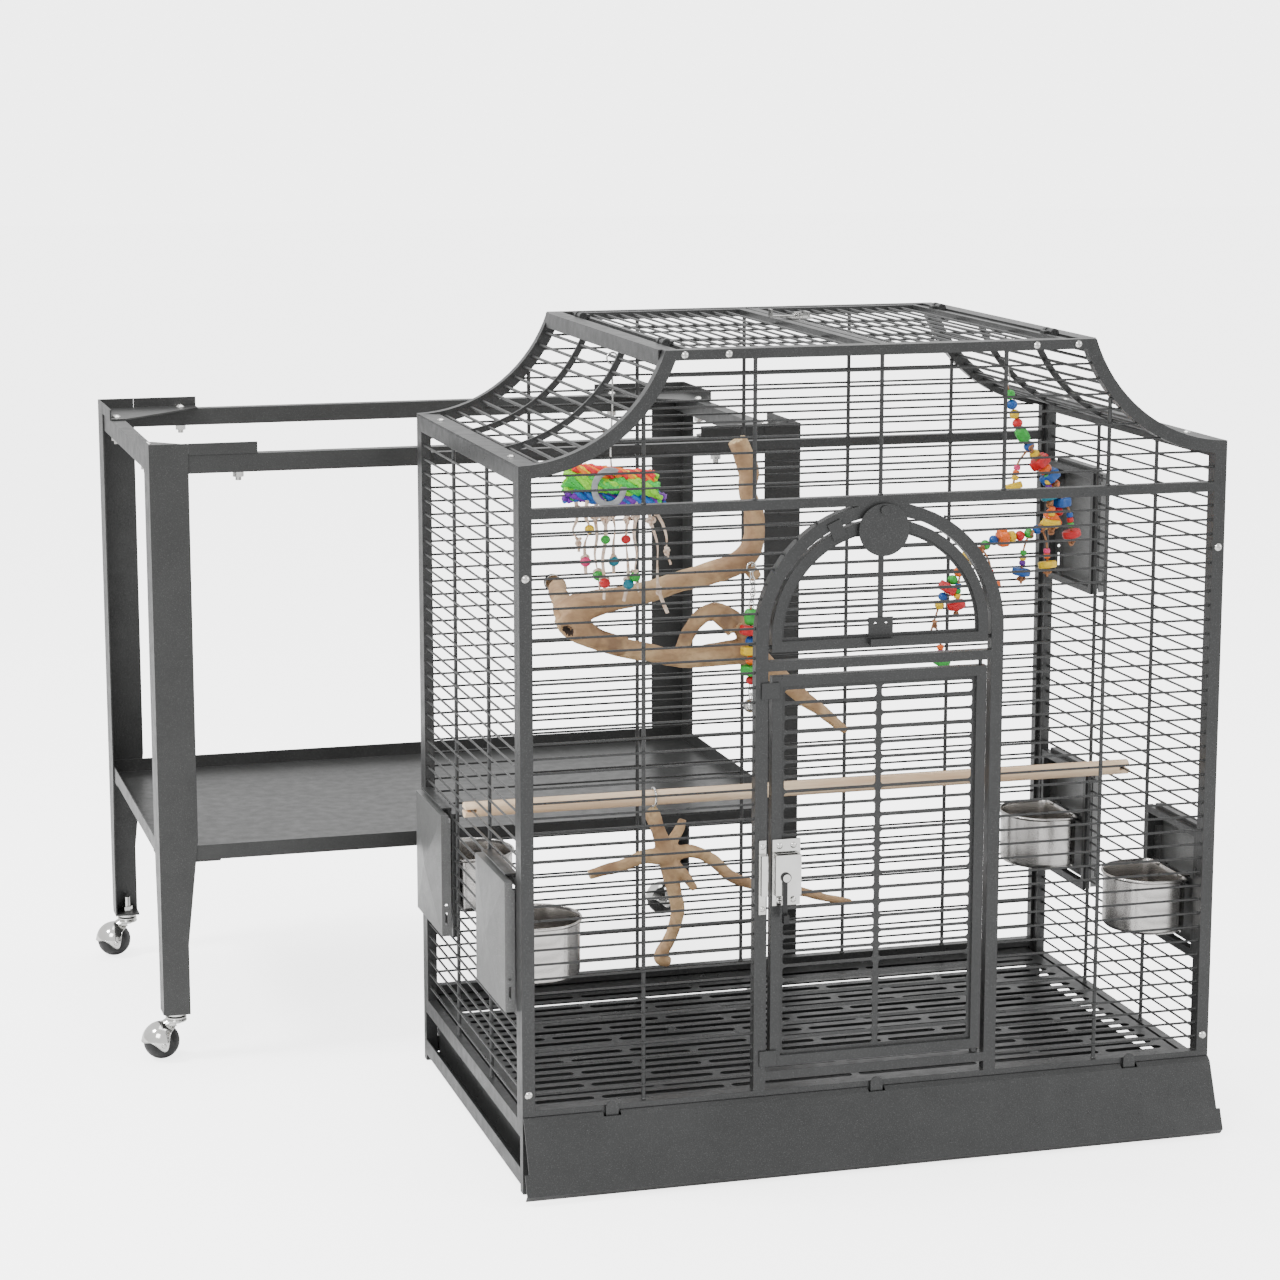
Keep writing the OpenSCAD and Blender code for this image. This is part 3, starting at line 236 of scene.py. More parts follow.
m = Mat("bowl_steel", col(0.78, 0.78, 0.77), 0.24, 1.0)
grain = m.noise(900, 3, 0.6, vector=m.mapped((0.06, 0.06, 1.0)))
m.rough(m.maprange(grain, 0.3, 0.7, 0.2, 0.27))
m.base(m.mix(m.maprange(m.noise(22, 3), 0.3, 0.7, 0, 0.4), col(0.82, 0.81, 0.80),
    col(0.74, 0.73, 0.71)))
m.bump(grain, 0.03, 0.00001)
M["bowl"] = m.m

m = Mat("wheel_rubber", col(0.07, 0.07, 0.07), 0.5)
m.base(m.mix(m.maprange(m.noise(60, 4), 0.35, 0.7, 0, 1), col(0.055, 0.055, 0.055),
    col(0.10, 0.10, 0.098)))
m.rough(m.maprange(m.noise(90, 3), 0.3, 0.7, 0.32, 0.6))
m.bump(m.noise(800, 3), 0.15, 0.0001)
M["rubber"] = m.m

m = Mat("black_plastic", col(0.06, 0.06, 0.062), 0.38)
m.edges(0.0006)
m.base(m.mix(m.maprange(m.noise(80, 3), 0.35, 0.7, 0, 1), col(0.05, 0.05, 0.052),
    col(0.09, 0.09, 0.092)))
m.rough(m.maprange(m.noise(120, 3), 0.3, 0.7, 0.3, 0.48))
m.bump(m.noise(1200, 2), 0.1, 0.00006)
M["black"] = m.m

m = Mat("turned_wood", col(0.80, 0.66, 0.50), 0.62)
fib = m.noise(420, 4, 0.65, vector=m.mapped((0.05, 1, 1)))
wave = m.noise(60, 3, 0.5, vector=m.mapped((0.06, 1, 1)), distortion=0.6)
c = m.mix(m.maprange(wave, 0.3, 0.7, 0, 1), col(0.93, 0.84, 0.72), col(0.84, 0.71, 0.57))
m.base(m.mix(m.maprange(fib, 0.45, 0.75, 0, 0.4), c, col(0.70, 0.55, 0.41)))
m.rough(m.maprange(fib, 0.3, 0.7, 0.5, 0.72))
m.bump(fib, 0.3, 0.00018)
M["dowel"] = m.m

m = Mat("branch_wood", col(0.66, 0.54, 0.40), 0.66)
big = m.noise(16, 4, 0.55, distortion=0.4)
fib = m.noise(150, 5, 0.62, vector=m.mapped((0.35, 1, 0.6)), distortion=0.3)
fine = m.noise(650, 3, 0.6, vector=m.mapped((0.3, 1, 0.7)))
c = m.ramp(big, [(0.30, col(0.50, 0.38, 0.27)), (0.46, col(0.66, 0.53, 0.39)),
    (0.60, col(0.76, 0.64, 0.48)), (0.74, col(0.60, 0.47, 0.34))])
c = m.mix(m.maprange(fib, 0.46, 0.72, 0, 0.55), c, col(0.44, 0.33, 0.23))
c = m.mix(m.maprange(m.noise(34, 2), 0.62, 0.72, 0, 0.6), c, col(0.40, 0.30, 0.22))
m.base(c)
m.rough(m.maprange(fine, 0.3, 0.7, 0.55, 0.8))
m.bump(fib, 0.55, 0.0006)
m.bump(fine, 0.3, 0.0002)
M["branch"] = m.m

m = Mat("cut_wood", col(0.82, 0.72, 0.55), 0.7)
m.base(m.mix(m.maprange(m.noise(120, 3, distortion=1.0), 0.35, 0.65, 0, 1), col(0.86, 0.77, 0.60),
    col(0.74, 0.61, 0.44)))
m.bump(m.noise(420, 3), 0.3, 0.0003)
M["cut"] = m.m

# dark brown for the knot hole: painted shade, standing in for the shadow inside the hole
m = Mat("hollow", col(0.13, 0.09, 0.06), 0.9)
m.base(m.mix(m.noise(90, 3), col(0.10, 0.07, 0.05), col(0.22, 0.15, 0.10)))
m.bump(m.noise(240, 3), 0.5, 0.0006)
M["hollow"] = m.m

m = Mat("leather", col(0.80, 0.68, 0.58), 0.75)
m.base(m.mix(m.maprange(m.noise(110, 4), 0.3, 0.7, 0, 1), col(0.90, 0.84, 0.78),
    col(0.76, 0.63, 0.53)))
m.bump(m.noise(700, 4), 0.4, 0.0002)
M["leather"] = m.m

m = Mat("brown_cord", col(0.62, 0.42, 0.28), 0.75)
m.base(m.mix(m.maprange(m.noise(160, 4), 0.3, 0.7, 0, 1), col(0.68, 0.48, 0.33),
    col(0.48, 0.31, 0.20)))
m.bump(m.noise(800, 3), 0.4, 0.0002)
M["cord"] = m.m

PAINT = {
    "red": (0.80, 0.09, 0.12), "orange": (0.95, 0.42, 0.08), "yellow": (0.94, 0.78, 0.10),
    "green": (0.16, 0.66, 0.22), "blue": (0.04, 0.32, 0.62), "teal": (0.03, 0.48, 0.56),
    "pink": (0.90, 0.22, 0.46), "purple": (0.38, 0.10, 0.56), "lime": (0.46, 0.78, 0.12),
    "grey": (0.62, 0.63, 0.64),
}


def paint(name, rough=0.38):
    """Dyed wood or plastic: faint grain and worn spots in one colour."""
    key = "dye_" + name
    if key not in M:
        a = PAINT[name]
        m = Mat(key, col(*a), rough)
        g = m.noise(260, 4, 0.6, vector=m.mapped((0.3, 1, 1)))
        m.base(m.mix(m.maprange(g, 0.35, 0.75, 0, 0.7), col(*a), col(*[v * 0.68 for v in a])))
        m.rough(m.maprange(m.noise(150, 3), 0.3, 0.7, rough - 0.1, rough + 0.16))
        m.bump(g, 0.2, 0.00012)
        M[key] = m.m
    return M[key]


def crinkle(name):
    """Crushed shiny paper rope in one colour."""
    key = "paper_" + name
    if key not in M:
        a = PAINT[name]
        m = Mat(key, col(*a), 0.42)
        g = m.noise(380, 5, 0.7)
        m.base(m.mix(m.maprange(g, 0.4, 0.72, 0, 0.9), col(*a),
            col(*[min(1, v * 1.35 + 0.06) for v in a])))
        m.rough(m.maprange(g, 0.3, 0.7, 0.3, 0.6))
        m.bump(m.noise(520, 4, 0.7), 0.8, 0.0006)
        M[key] = m.m
    return M[key]


# ---- mesh helpers --------------------------------------------------------------------
class Shape:
    """Collects tubes, balls and turned shapes into one mesh, in metres."""

    def __init__(self):
        self.v, self.f, self.mi, self.mats = [], [], [], []

    def slot(self, mat):
        if mat not in self.mats:
            self.mats.append(mat)
        return self.mats.index(mat)

    def ringset(self, rings, mat, closed=False):
        s, n, base = self.slot(mat), len(rings[0]), len(self.v)
        for r in rings:
            self.v.extend(r)
        k = len(rings)
        for i in range(k if closed else k - 1):
            a, b = base + i * n, base + ((i + 1) % k) * n
            for j in range(n):
                q = (j + 1) % n
                self.f.append((a + j, a + q, b + q, b + j))
                self.mi.append(s)
        if not closed:
            for ring, order in ((0, -1), (k - 1, 1)):
                idx = [base + ring * n + j for j in range(n)]
                c = sum((Vector(self.v[i]) for i in idx), Vector()) / n
                self.v.append(c)
                cc = len(self.v) - 1
                for j in range(n):
                    a, b = idx[j], idx[(j + 1) % n]
                    self.f.append((cc, a, b) if order > 0 else (cc, b, a))
                    self.mi.append(s)

    def tube(self, pts, radius, mat, n=12, closed=False, flat=1.0):
        pts = [Vector(p) for p in pts]
        k = len(pts)
        rad = radius if callable(radius) else (lambda t: radius)
        rings, side = [], None
        for i, p in enumerate(pts):
            a = pts[(i - 1) % k] if (closed or i > 0) else p
            b = pts[(i + 1) % k] if (closed or i < k - 1) else p
            t = (b - a).normalized()
            if side is None:
                ref = Vector((0, 0, 1)) if abs(t.z) < 0.9 else Vector((1, 0, 0))
                side = t.cross(ref).normalized()
            side = (side - t * side.dot(t)).normalized()
            other = t.cross(side).normalized()
            r = rad(i / max(1, k - 1))
            rings.append([p + (side * math.cos(2 * math.pi * j / n)
                + other * math.sin(2 * math.pi * j / n) * flat) * r for j in range(n)])
        self.ringset(rings, mat, closed)

    def ball(self, c, r, mat, axis=(0, 0, 1), squash=1.0, hole=0.0, n=20, m=12):
        c, ax = Vector(c), Vector(axis).normalized()
        q = Vector((0, 0, 1)).rotation_difference(ax).to_matrix()
        rings = []
        lo = math.asin(min(0.95, hole / r)) if hole else 0.06
        for i in range(m + 1):
            a = lo + (math.pi - 2 * lo) * i / m
            rings.append([c + q @ Vector((r * math.sin(a) * math.cos(2 * math.pi * j / n),
                r * math.sin(a) * math.sin(2 * math.pi * j / n), r * math.cos(a) * squash))
                for j in range(n)])
        self.ringset(rings, mat)

    def lathe(self, c, axis, profile, mat, n=24, lobes=0, depth=0.0):
        """profile: (radius, height) pairs along the axis."""
        c, ax = Vector(c), Vector(axis).normalized()
        q = Vector((0, 0, 1)).rotation_difference(ax).to_matrix()
        rings = []
        for r, h in profile:
            ring = []
            for j in range(n):
                a = 2 * math.pi * j / n
                rr = r * (1 + depth * math.cos(lobes * a)) if lobes else r
                ring.append(c + q @ Vector((rr * math.cos(a), rr * math.sin(a), h)))
            rings.append(ring)
        self.ringset(rings, mat)

    def make(self, name, body=None, slot=None, replaces=(), smooth=35):
        me = bpy.data.meshes.new(name)
        me.from_pydata([tuple(p) for p in self.v], [], self.f)
        for mat in self.mats:
            me.materials.append(mat)
        me.polygons.foreach_set("material_index", self.mi)
        me.validate()
        me.update()
        return place(me, name, body, replaces, smooth)


def place(me, name, body, replaces, smooth):
    """Links a mesh as a piece, gives it its body and hides the nodes it replaces."""
    o = bpy.data.objects.new(name, me)
    bpy.context.scene.collection.objects.link(o)
    for p in me.polygons:
        p.use_smooth = True
    if smooth:
        me.set_sharp_from_angle(angle=math.radians(smooth))
    if replaces:
        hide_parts(*replaces)
    if body:
        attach(o, body)
    return o


def smooth_path(pts, per=8):
    """Catmull-Rom through points of any dimension."""
    out, k = [], len(pts)
    for i in range(k - 1):
        p = [pts[min(max(i + d, 0), k - 1)] for d in (-1, 0, 1, 2)]
        for s in range(per):
            t = s / per
            out.append(tuple(0.5 * (2 * b + (c - a) * t + (2 * a - 5 * b + 4 * c - d) * t * t
                + (3 * b - a - 3 * c + d) * t ** 3) for a, b, c, d in zip(*p)))
    out.append(tuple(pts[-1]))
    return out


# ---- CAD nodes keep their exact shape and get their finish --------------------------
SLOT_MAT = {"frame_coat": "coat", "chrome": "chrome", "wheel_rubber": "rubber",
    "bowl_steel": "bowl",
            "black_plastic": "black", "dowel": "dowel", "branch_wood": "branch", "toy_fabric": "cord",
            "toy_wood": "cut", "toy_plastic": "black"}
for part in frame["record"]["subparts"]:
    o = NODES[part["node"]]
    key = SLOT_MAT[part["material_slot"]]
    if part["node"] in ("rails_long", "rails_short", "corner_brackets", "shelf",
        "shelf_gussets") or part["node"].startswith("leg_"):
        key = "coat_stand"
    # covers take the lighter copy of the coat, which is painted light from the left
    if part["node"].startswith("cover_"):
        key = "coat_cover"
    o.data.materials.clear()
    o.data.materials.append(M[key])

# ---- wire panels ---------------------------------------------------------------------

# where the hollow side of the gable meets its top rail
GABLE_TOP_X = OGEE_X + math.sqrt(OGEE_IN ** 2 - (OGEE_Z - ROOF_IN_Z) ** 2)


def gable_x(z):
    """Inner edge of the gable's left side at a height."""
    if z < OGEE_Z - OGEE_IN:
        return POST_W
    return max(POST_W, OGEE_X + math.sqrt(OGEE_IN ** 2 - (OGEE_Z - z) ** 2))


def gable_z(x):
    """Underside of the gable at a distance from its side."""
    if x > GABLE_TOP_X:
        return ROOF_IN_Z
    return OGEE_Z - math.sqrt(OGEE_IN ** 2 - (x - OGEE_X) ** 2)


def arch_half(z):
    """Half the width of the arch at a height."""
    if z < ARCH_Z:
        return ARCH_R
    return 0 if z > ARCH_Z + ARCH_R else math.sqrt(ARCH_R ** 2 - (z - ARCH_Z) ** 2)


def bar(s, a, b, d, mat):
    """A straight wire with small weld fillets at its ends."""
    a, b = Vector(a), Vector(b)
    u = (b - a).normalized()
    r = d / 2
    if (b - a).length > SHORTEST_WELDED:
        near_end, weld_end = 1.0, 2.6
        pts = [a, a + u * near_end, a + u * weld_end, b - u * weld_end, b - u * near_end, b]
        radii = [r * 1.5, r * 1.22, r, r, r * 1.22, r * 1.5]
        last = len(pts) - 1
        line = [at_cage(*p) for p in pts]
        s.tube(line, lambda t: radii[min(last, round(t * last))] / 1000, mat, 10)
    else:
        s.tube([at_cage(*a), at_cage(*b)], r / 1000, mat, 10)


def side_x(x, flip):
    """A distance from the left side, or from the right side when flip is set."""
    return CAGE_W - x if flip else x


wire_mat = M["coat_wire"]
BAR_Y = FRAME_T / 2
s = Shape()
upright_x1 = MID_X / 3 + 4
for flip in (0, 1):
    bar(s, (side_x(upright_x1, flip), BAR_Y + 3, SILL_Z),
        (side_x(upright_x1, flip), BAR_Y + 3, MID_Z), UPRIGHT_D, wire_mat)
    for i in range(1, LOW_COUNT):
        z = SILL_Z + i * LOW_STEP
        x1 = min(MID_X - max(arch_half(z - WIRE_D / 2), arch_half(z)), MID_X - 60)
        bar(s, (side_x(POST_W, flip), BAR_Y, z), (side_x(x1, flip), BAR_Y, z), WIRE_D, wire_mat)
    for x in (upright_x1, MID_X - ARCH_R):
        bar(s, (side_x(x, flip), BAR_Y + 3, MID_Z + RAIL_H),
            (side_x(x, flip), BAR_Y + 3, gable_z(x)), UPRIGHT_D, wire_mat)
bar(s, (MID_X, BAR_Y + 3, MID_Z + RAIL_H), (MID_X, BAR_Y + 3, ROOF_IN_Z), UPRIGHT_D, wire_mat)
for i in range(1, TOP_COUNT):
    z = MID_Z + RAIL_H + i * TOP_STEP
    x0 = gable_x(z)
    bar(s, (x0, BAR_Y, z), (CAGE_W - x0, BAR_Y, z), WIRE_D, wire_mat)
s.make("wires_front", "cage", "frame_coat", ["front_bars"])

s = Shape()
REAR_Y = CAGE_D - BAR_Y
for k in range(1, 6):
    x = k * CAGE_W / 6
    bar(s, (x, REAR_Y - 3, SILL_Z), (x, REAR_Y - 3, MID_Z), UPRIGHT_D, wire_mat)
    bar(s, (x, REAR_Y - 3, MID_Z + RAIL_H), (x, REAR_Y - 3, gable_z(min(x, CAGE_W - x))), UPRIGHT_D,
        wire_mat)
for i in range(1, LOW_COUNT):
    bar(s, (POST_W, REAR_Y, SILL_Z + i * LOW_STEP),
        (CAGE_W - POST_W, REAR_Y, SILL_Z + i * LOW_STEP), WIRE_D, wire_mat)
for i in range(1, TOP_COUNT):
    z = MID_Z + RAIL_H + i * TOP_STEP
    x0 = gable_x(z)
    bar(s, (x0, REAR_Y, z), (CAGE_W - x0, REAR_Y, z), WIRE_D, wire_mat)
s.make("wires_rear", "cage", "frame_coat", ["rear_bars"])

SIDE_Z0, SIDE_RAIL = SILL_Z - RAIL_H - 24, 20.0
SIDE_Z1 = SHOULDER_Z - 2.2
SIDE_Y0, SIDE_Y1, STILE = FRAME_T + 0.2, CAGE_D - FRAME_T - 0.2, 13.5
SIDE_COUNT = round((SIDE_Z1 - SIDE_RAIL - SIDE_Z0 - SIDE_RAIL) / PITCH)
SIDE_STEP = (SIDE_Z1 - SIDE_RAIL - SIDE_Z0 - SIDE_RAIL) / SIDE_COUNT
SIDE_FIRST = SIDE_Z0 + SIDE_RAIL
UPRIGHT_Y = 93.0
FEEDER_W, FEEDER_H, FEEDER_Z, FEEDER_HI_Z = 158.0, 168.0, 223.0, 642.0
FEED_Y0 = CAGE_D / 2 - UPRIGHT_Y - UPRIGHT_D / 2 - 3.5 - FEEDER_W
FEED_Y1 = CAGE_D / 2 + UPRIGHT_Y + UPRIGHT_D / 2 + 3.5


def near(z, z0):
    """True where a level wire at z meets a feeder frame that starts at z0."""
    return z0 - WIRE_D / 2 - LEVEL_GAP < z < z0 + FEEDER_H + WIRE_D / 2 + LEVEL_GAP


for flip, name in ((0, "left"), (1, "right")):
    s = Shape()
    level_x, upright_x = (CAGE_W - 4, CAGE_W - 7) if flip else (4, 7)
    for sg in (-1, 1):
        y = CAGE_D / 2 + sg * UPRIGHT_Y
        bar(s, (upright_x, y, SIDE_FIRST), (upright_x, y, SIDE_Z1 - SIDE_RAIL), UPRIGHT_D, wire_mat)
    for i in range(1, SIDE_COUNT):
        z = SIDE_FIRST + i * SIDE_STEP
        y0 = FEED_Y0 + FEEDER_W if near(z, FEEDER_Z) else SIDE_Y0 + STILE
        y1 = FEED_Y1 if near(z, FEEDER_Z) or (flip and near(z, FEEDER_HI_Z)) else SIDE_Y1 - STILE
        bar(s, (level_x, y0, z), (level_x, y1, z), WIRE_D, wire_mat)
    s.make("wires_" + name, "cage", "frame_coat", ["side_bars_" + name])

# ---- bowls ---------------------------------------------------------------------------
# bowl: height, half width, middle
BOWL_H, BOWL_HALF, BOWL_MID = 74.0, 60, 38.0
# its round front: radius and distance of the centre from the back; radius of its foot
BOWL_FRONT_R, BOWL_FRONT_X, BOWL_FOOT_R = 63, 24, 7
# its place in the feeder frame
BOWL_X, BOWL_Z = 12.6, 26


def bowl_outline(inset):
    """D outline: flat back, square sides, round front, with soft corners."""
    out, n = [], 72
    for j in range(n):
        a = 2 * math.pi * j / n
        dx, dy = math.cos(a), math.sin(a)
        d = []
        if dx < 0:
            d.append((BOWL_MID - inset) / -dx)
        if dy:
            d.append((BOWL_HALF - inset) / abs(dy))
        R = BOWL_FRONT_R - inset
        ox = BOWL_MID - BOWL_FRONT_X
        d.append(-ox * dx + math.sqrt((ox * dx) ** 2 - ox * ox + R * R))
        r = sum(v ** -16 for v in d) ** (-1 / 16)
        out.append((BOWL_MID + r * dx, r * dy))
    return out


def bowl(name, flip, y0):
    """A bowl of pressed steel with a rolled rim and two hooks over its rail."""
    prof = []
    h = BOWL_H
    for q in (0.25, 0.6, 0.85):
        prof.append((None, 0.0, q))
    for k in range(7):
        a = math.pi / 2 * k / 6
        prof.append((BOWL_FOOT_R * (1 - math.sin(a)), BOWL_FOOT_R * (1 - math.cos(a)), 1))
    prof += [(0, 30, 1), (-0.2, 60, 1), (-0.3, h - 5, 1)]
    for k in range(9):
        a = -math.pi / 2 + math.pi * 1.35 * k / 8
        prof.append((-1.5 - 1.5 * math.cos(a), h - 2.2 + 1.9 * math.sin(a), 1))
    prof += [(0.8, h - 6, 1), (0.9, 40, 1), (1.1, 12, 1)]
    for k in range(1, 7):
        a = math.pi / 2 * k / 6
        prof.append((1.1 + 6 * (1 - math.cos(a)), 1.1 + 6 * (1 - math.sin(a)) + 0.1, 1))
    for q in (0.85, 0.6, 0.25):
        prof.append((None, 1.2, q))
    ox, oz = BOWL_X, FEEDER_Z + BOWL_Z
    s = Shape()
    rings = []
    for inset, z, q in prof:
        ring = bowl_outline(BOWL_FOOT_R if inset is None else inset)
        if q < 1:
            ring = [(BOWL_MID + (x - BOWL_MID) * q, y * q) for x, y in ring]
        mid_y = y0 + FEEDER_W / 2
        rings.append([at_cage(side_x(ox + x, flip), mid_y + y, oz + z) for x, y in ring])
    if flip:
        rings = [r[::-1] for r in rings]
    s.ringset(rings, M["bowl"])
    for sy in (-34, 34):
        pts = [(0.6, h - 4), (0.6, h - 1.0), (-0.6, h - 0.1), (-6, h - 0.1), (-10.6, h - 0.3),
            (-11.8, h - 1.6), (-11.8, h - 11)]
        pts = smooth_path(pts, 3)
        line = [at_cage(side_x(ox + x, flip), y0 + FEEDER_W / 2 + sy, oz + z) for x, z in pts]
        s.tube(line, 0.0062, M["bowl"], 16, flat=0.1)
    s.make(name, body="dish_" + name[5:], slot="bowl_steel", replaces=[name], smooth=40)


bowl("bowl_left_front", 0, FEED_Y0)
bowl("bowl_left_rear", 0, FEED_Y1)
bowl("bowl_right_front", 1, FEED_Y0)
bowl("bowl_right_rear", 1, FEED_Y1)

# ---- casters -------------------------------------------------------------------------
def caster(tag, x, y):
    """Pressed hood over the ball with a cheek down to the axle on each side."""
    c = STAND + Vector((x - 21, y, 25)) / 1000
    top = STAND + Vector((x, y, 0)) / 1000
    q = Vector((0, 0, 1)).rotation_difference(Vector((-0.30, 0, 0.95)).normalized()).to_matrix()
    s, n = Shape(), 64

    def edge(phi):
        cheek = sum(math.exp(-((abs(phi - m) / 0.40) ** 2)) for m in (math.pi / 2, 3 * math.pi / 2))
        return math.radians(60 + 47 * cheek + 10 * max(0, -math.cos(phi)))

    def shell(radius, t):
        ring = []
        for j in range(n):
            phi = 2 * math.pi * j / n
            a = edge(phi) * t
            x, y = math.sin(a) * math.cos(phi), math.sin(a) * math.sin(phi)
            ring.append(c + q @ Vector((x, y, math.cos(a))) * radius)
        return ring
    steps = [0.06 + 0.94 * k / 14 for k in range(15)]
    rolled_edge = [shell(0.0280, 1.015), shell(0.0274, 1.04), shell(0.0266, 1.02)]
    rings = [shell(0.0275, t) for t in steps] + rolled_edge
    s.ringset(rings + [shell(0.0263, t) for t in reversed(steps)], M["chrome"])
    for sy in (-1, 1):
        s.lathe(c + Vector((0, sy * 0.0255, 0)), (0, sy, 0),
            [(0.001, 0.0002), (0.0042, 0.0002), (0.0042, 0.0012), (0.003, 0.0019), (0.001, 0.002)],
            M["chrome"], 24)
    neck = smooth_path([tuple(c + Vector((0.006, 0, 0.021))), tuple(c + Vector((0.012, 0, 0.0245))),
        tuple(top + Vector((-0.003, 0, 0.0525)))], 6)
    s.tube(neck, 0.0105, M["chrome"], 28, flat=0.8)
    swivel_top = [
        (0.0056, 0.0520), (0.0138, 0.0520), (0.0149, 0.0530), (0.0150, 0.0542), (0.0144, 0.0552),
        (0.0132, 0.0558), (0.0136, 0.0566), (0.0146, 0.0574), (0.0146, 0.0586), (0.0134, 0.0597),
        (0.0056, 0.0599),
    ]
    s.lathe(top, (0, 0, 1), swivel_top, M["chrome"], 40)
    s.make("hood_" + tag, "caster_" + tag, "chrome", ["caster_hood_" + tag], smooth=40)


STAND_W, STAND_D, STEM = CAGE_W + 6, CAGE_D + 6, 19
for tag, x, y in (("fl", STEM, STEM), ("fr", STAND_W - STEM, STEM), ("rl", STEM, STAND_D - STEM),
                  ("rr", STAND_W - STEM, STAND_D - STEM)):
    caster(tag, x, y)

# ---- branches ------------------------------------------------------------------------
def hoop(s, centre, radius, wire, n, plane="xz", sides=8):
    """A chrome wire ring round a point in cage millimetres."""
    pts = []
    for i in range(n):
        p, a = dict(zip("xyz", centre)), 2 * math.pi * i / n
        p[plane[0]] += radius * math.cos(a)
        p[plane[1]] += radius * math.sin(a)
        pts.append(at_cage(p["x"], p["y"], p["z"]))
    s.tube(pts, wire, M["chrome"], sides, closed=True)


def limb_shape(paths):
    """Tubes along paths of (x, y, z, radius) points in millimetres."""
    s = Shape()
    for pts in paths:
        pth = smooth_path(pts, 10)
        k = len(pth)
        line = [at_cage(*p[:3]) for p in pth]
        s.tube(line, (lambda t, pth=pth, k=k: pth[min(k - 1, round(t * (k - 1)))][3] / 1000),
            M["branch"], 16)
    return s


def organic(name, paths, voxel, lumps, holes=()):
    """Limbs merged into one mesh with lumps, grain and knot holes."""
    s = limb_shape(paths)
    o = s.make(name + "_raw", smooth=0)
    rm = o.modifiers.new("r", "REMESH")
    rm.mode, rm.voxel_size = "VOXEL", voxel
    sm = o.modifiers.new("s", "SMOOTH")
    sm.iterations, sm.factor = 6, 0.5
    dg = bpy.context.evaluated_depsgraph_get()
    me = bpy.data.meshes.new_from_object(o.evaluated_get(dg))
    bpy.data.objects.remove(o)
    me.name = name
    co = [v.co.copy() for v in me.vertices]
    no = [v.normal.copy() for v in me.vertices]
    for i, (p, nrm) in enumerate(zip(co, no)):
        grain = Vector((p.x * 60, p.y * 190, p.z * 120))
        w = noise.noise(p * 42) * lumps + noise.noise(grain) * lumps * 0.35
        w += noise.noise(p * 380) * lumps * 0.12
        for hc, hr, depth in holes:
            d = (p - hc).length
            if d < hr * 2.2:
                w -= depth * math.exp(-((d / hr) ** 2) * 1.4)
                w += depth * 0.16 * math.exp(-(((d - hr * 1.35) / (hr * 0.4)) ** 2))
        me.vertices[i].co = p + nrm * w
    me.materials.clear()
    for k in ("branch", "cut", "hollow"):
        me.materials.append(M[k])
    return me


BRANCH_Y, MID_Y = CAGE_D / 2 + 20, CAGE_D / 2
PERCH_Z = SIDE_FIRST + 18 * SIDE_STEP
SCREW_X, SCREW_Z = 185, SILL_Z + 30.5 * LOW_STEP
EYE_X = 249
upper = [
    [(366, BRANCH_Y, 884, 12.5), (374, BRANCH_Y, 868, 13.5), (384, BRANCH_Y, 842, 14),
        (381, BRANCH_Y, 818, 11.5), (390, BRANCH_Y - 1, 786, 13), (389, BRANCH_Y - 4, 752, 14.5),
        (372, BRANCH_Y - 6, 726, 15.5), (330, BRANCH_Y - 6, 712, 15),
        (285, BRANCH_Y - 5, 701, 13.5), (235, BRANCH_Y - 4, 688, 14.5),
        (190, BRANCH_Y - 2, 681, 16.5), (152, BRANCH_Y, 672, 19.5), (132, BRANCH_Y - 2, 660, 18)],
    [(134, BRANCH_Y - 4, 668, 18), (146, BRANCH_Y - 7, 652, 19), (168, BRANCH_Y - 7, 636, 15.5),
        (208, BRANCH_Y - 4, 620, 13), (246, BRANCH_Y - 1, 610, 12), (284, BRANCH_Y, 600, 11.5),
        (318, BRANCH_Y + 1, 600, 14.5), (356, BRANCH_Y + 4, 602, 16.5),
        (386, BRANCH_Y + 6, 600, 17), (420, BRANCH_Y + 8, 574, 13.5),
        (464, BRANCH_Y + 10, 536, 10.5), (500, BRANCH_Y + 12, 508, 8),
        (526, BRANCH_Y + 12, 486, 5)],
    [(290, BRANCH_Y, 600, 9.5), (300, BRANCH_Y, 628, 9.5), (318, BRANCH_Y + 1, 652, 10.5),
        (340, BRANCH_Y + 2, 660, 10.5), (366, BRANCH_Y + 4, 646, 12), (388, BRANCH_Y + 6, 618, 13)],
    [(340, BRANCH_Y + 2, 655, 9), (352, BRANCH_Y - 4, 646, 11.5), (362, BRANCH_Y - 10, 636, 12.5)],
    [(376, BRANCH_Y - 6, 724, 9), (388, BRANCH_Y - 8, 708, 8.5), (392, BRANCH_Y - 9, 702, 7.5)],
    [(386, BRANCH_Y, 838, 8), (372, BRANCH_Y - 3, 850, 7)],
    [(208, BRANCH_Y - 4, 620, 7), (212, BRANCH_Y - 12, 634, 6)],
    [(134, BRANCH_Y, 668, 14), (150, BRANCH_Y + 70, 668, 12.5), (170, CAGE_D - 90, 666, 12),
        (SCREW_X, CAGE_D - 40, SCREW_Z, 11.5), (SCREW_X + 1, CAGE_D - 32, SCREW_Z, 11.5)],
]
hole = at_cage(134, BRANCH_Y - 18, 646)
me = organic("branch_upper", upper, 0.0021, 0.0014, [(hole, 0.0085, 0.0125)])
ends = [(at_cage(362, BRANCH_Y - 11, 636), Vector((0.3, -0.5, -0.35)).normalized(), 0.0135),
    (at_cage(366, BRANCH_Y, 884), Vector((-0.35, 0, 1)).normalized(), 0.0145)]
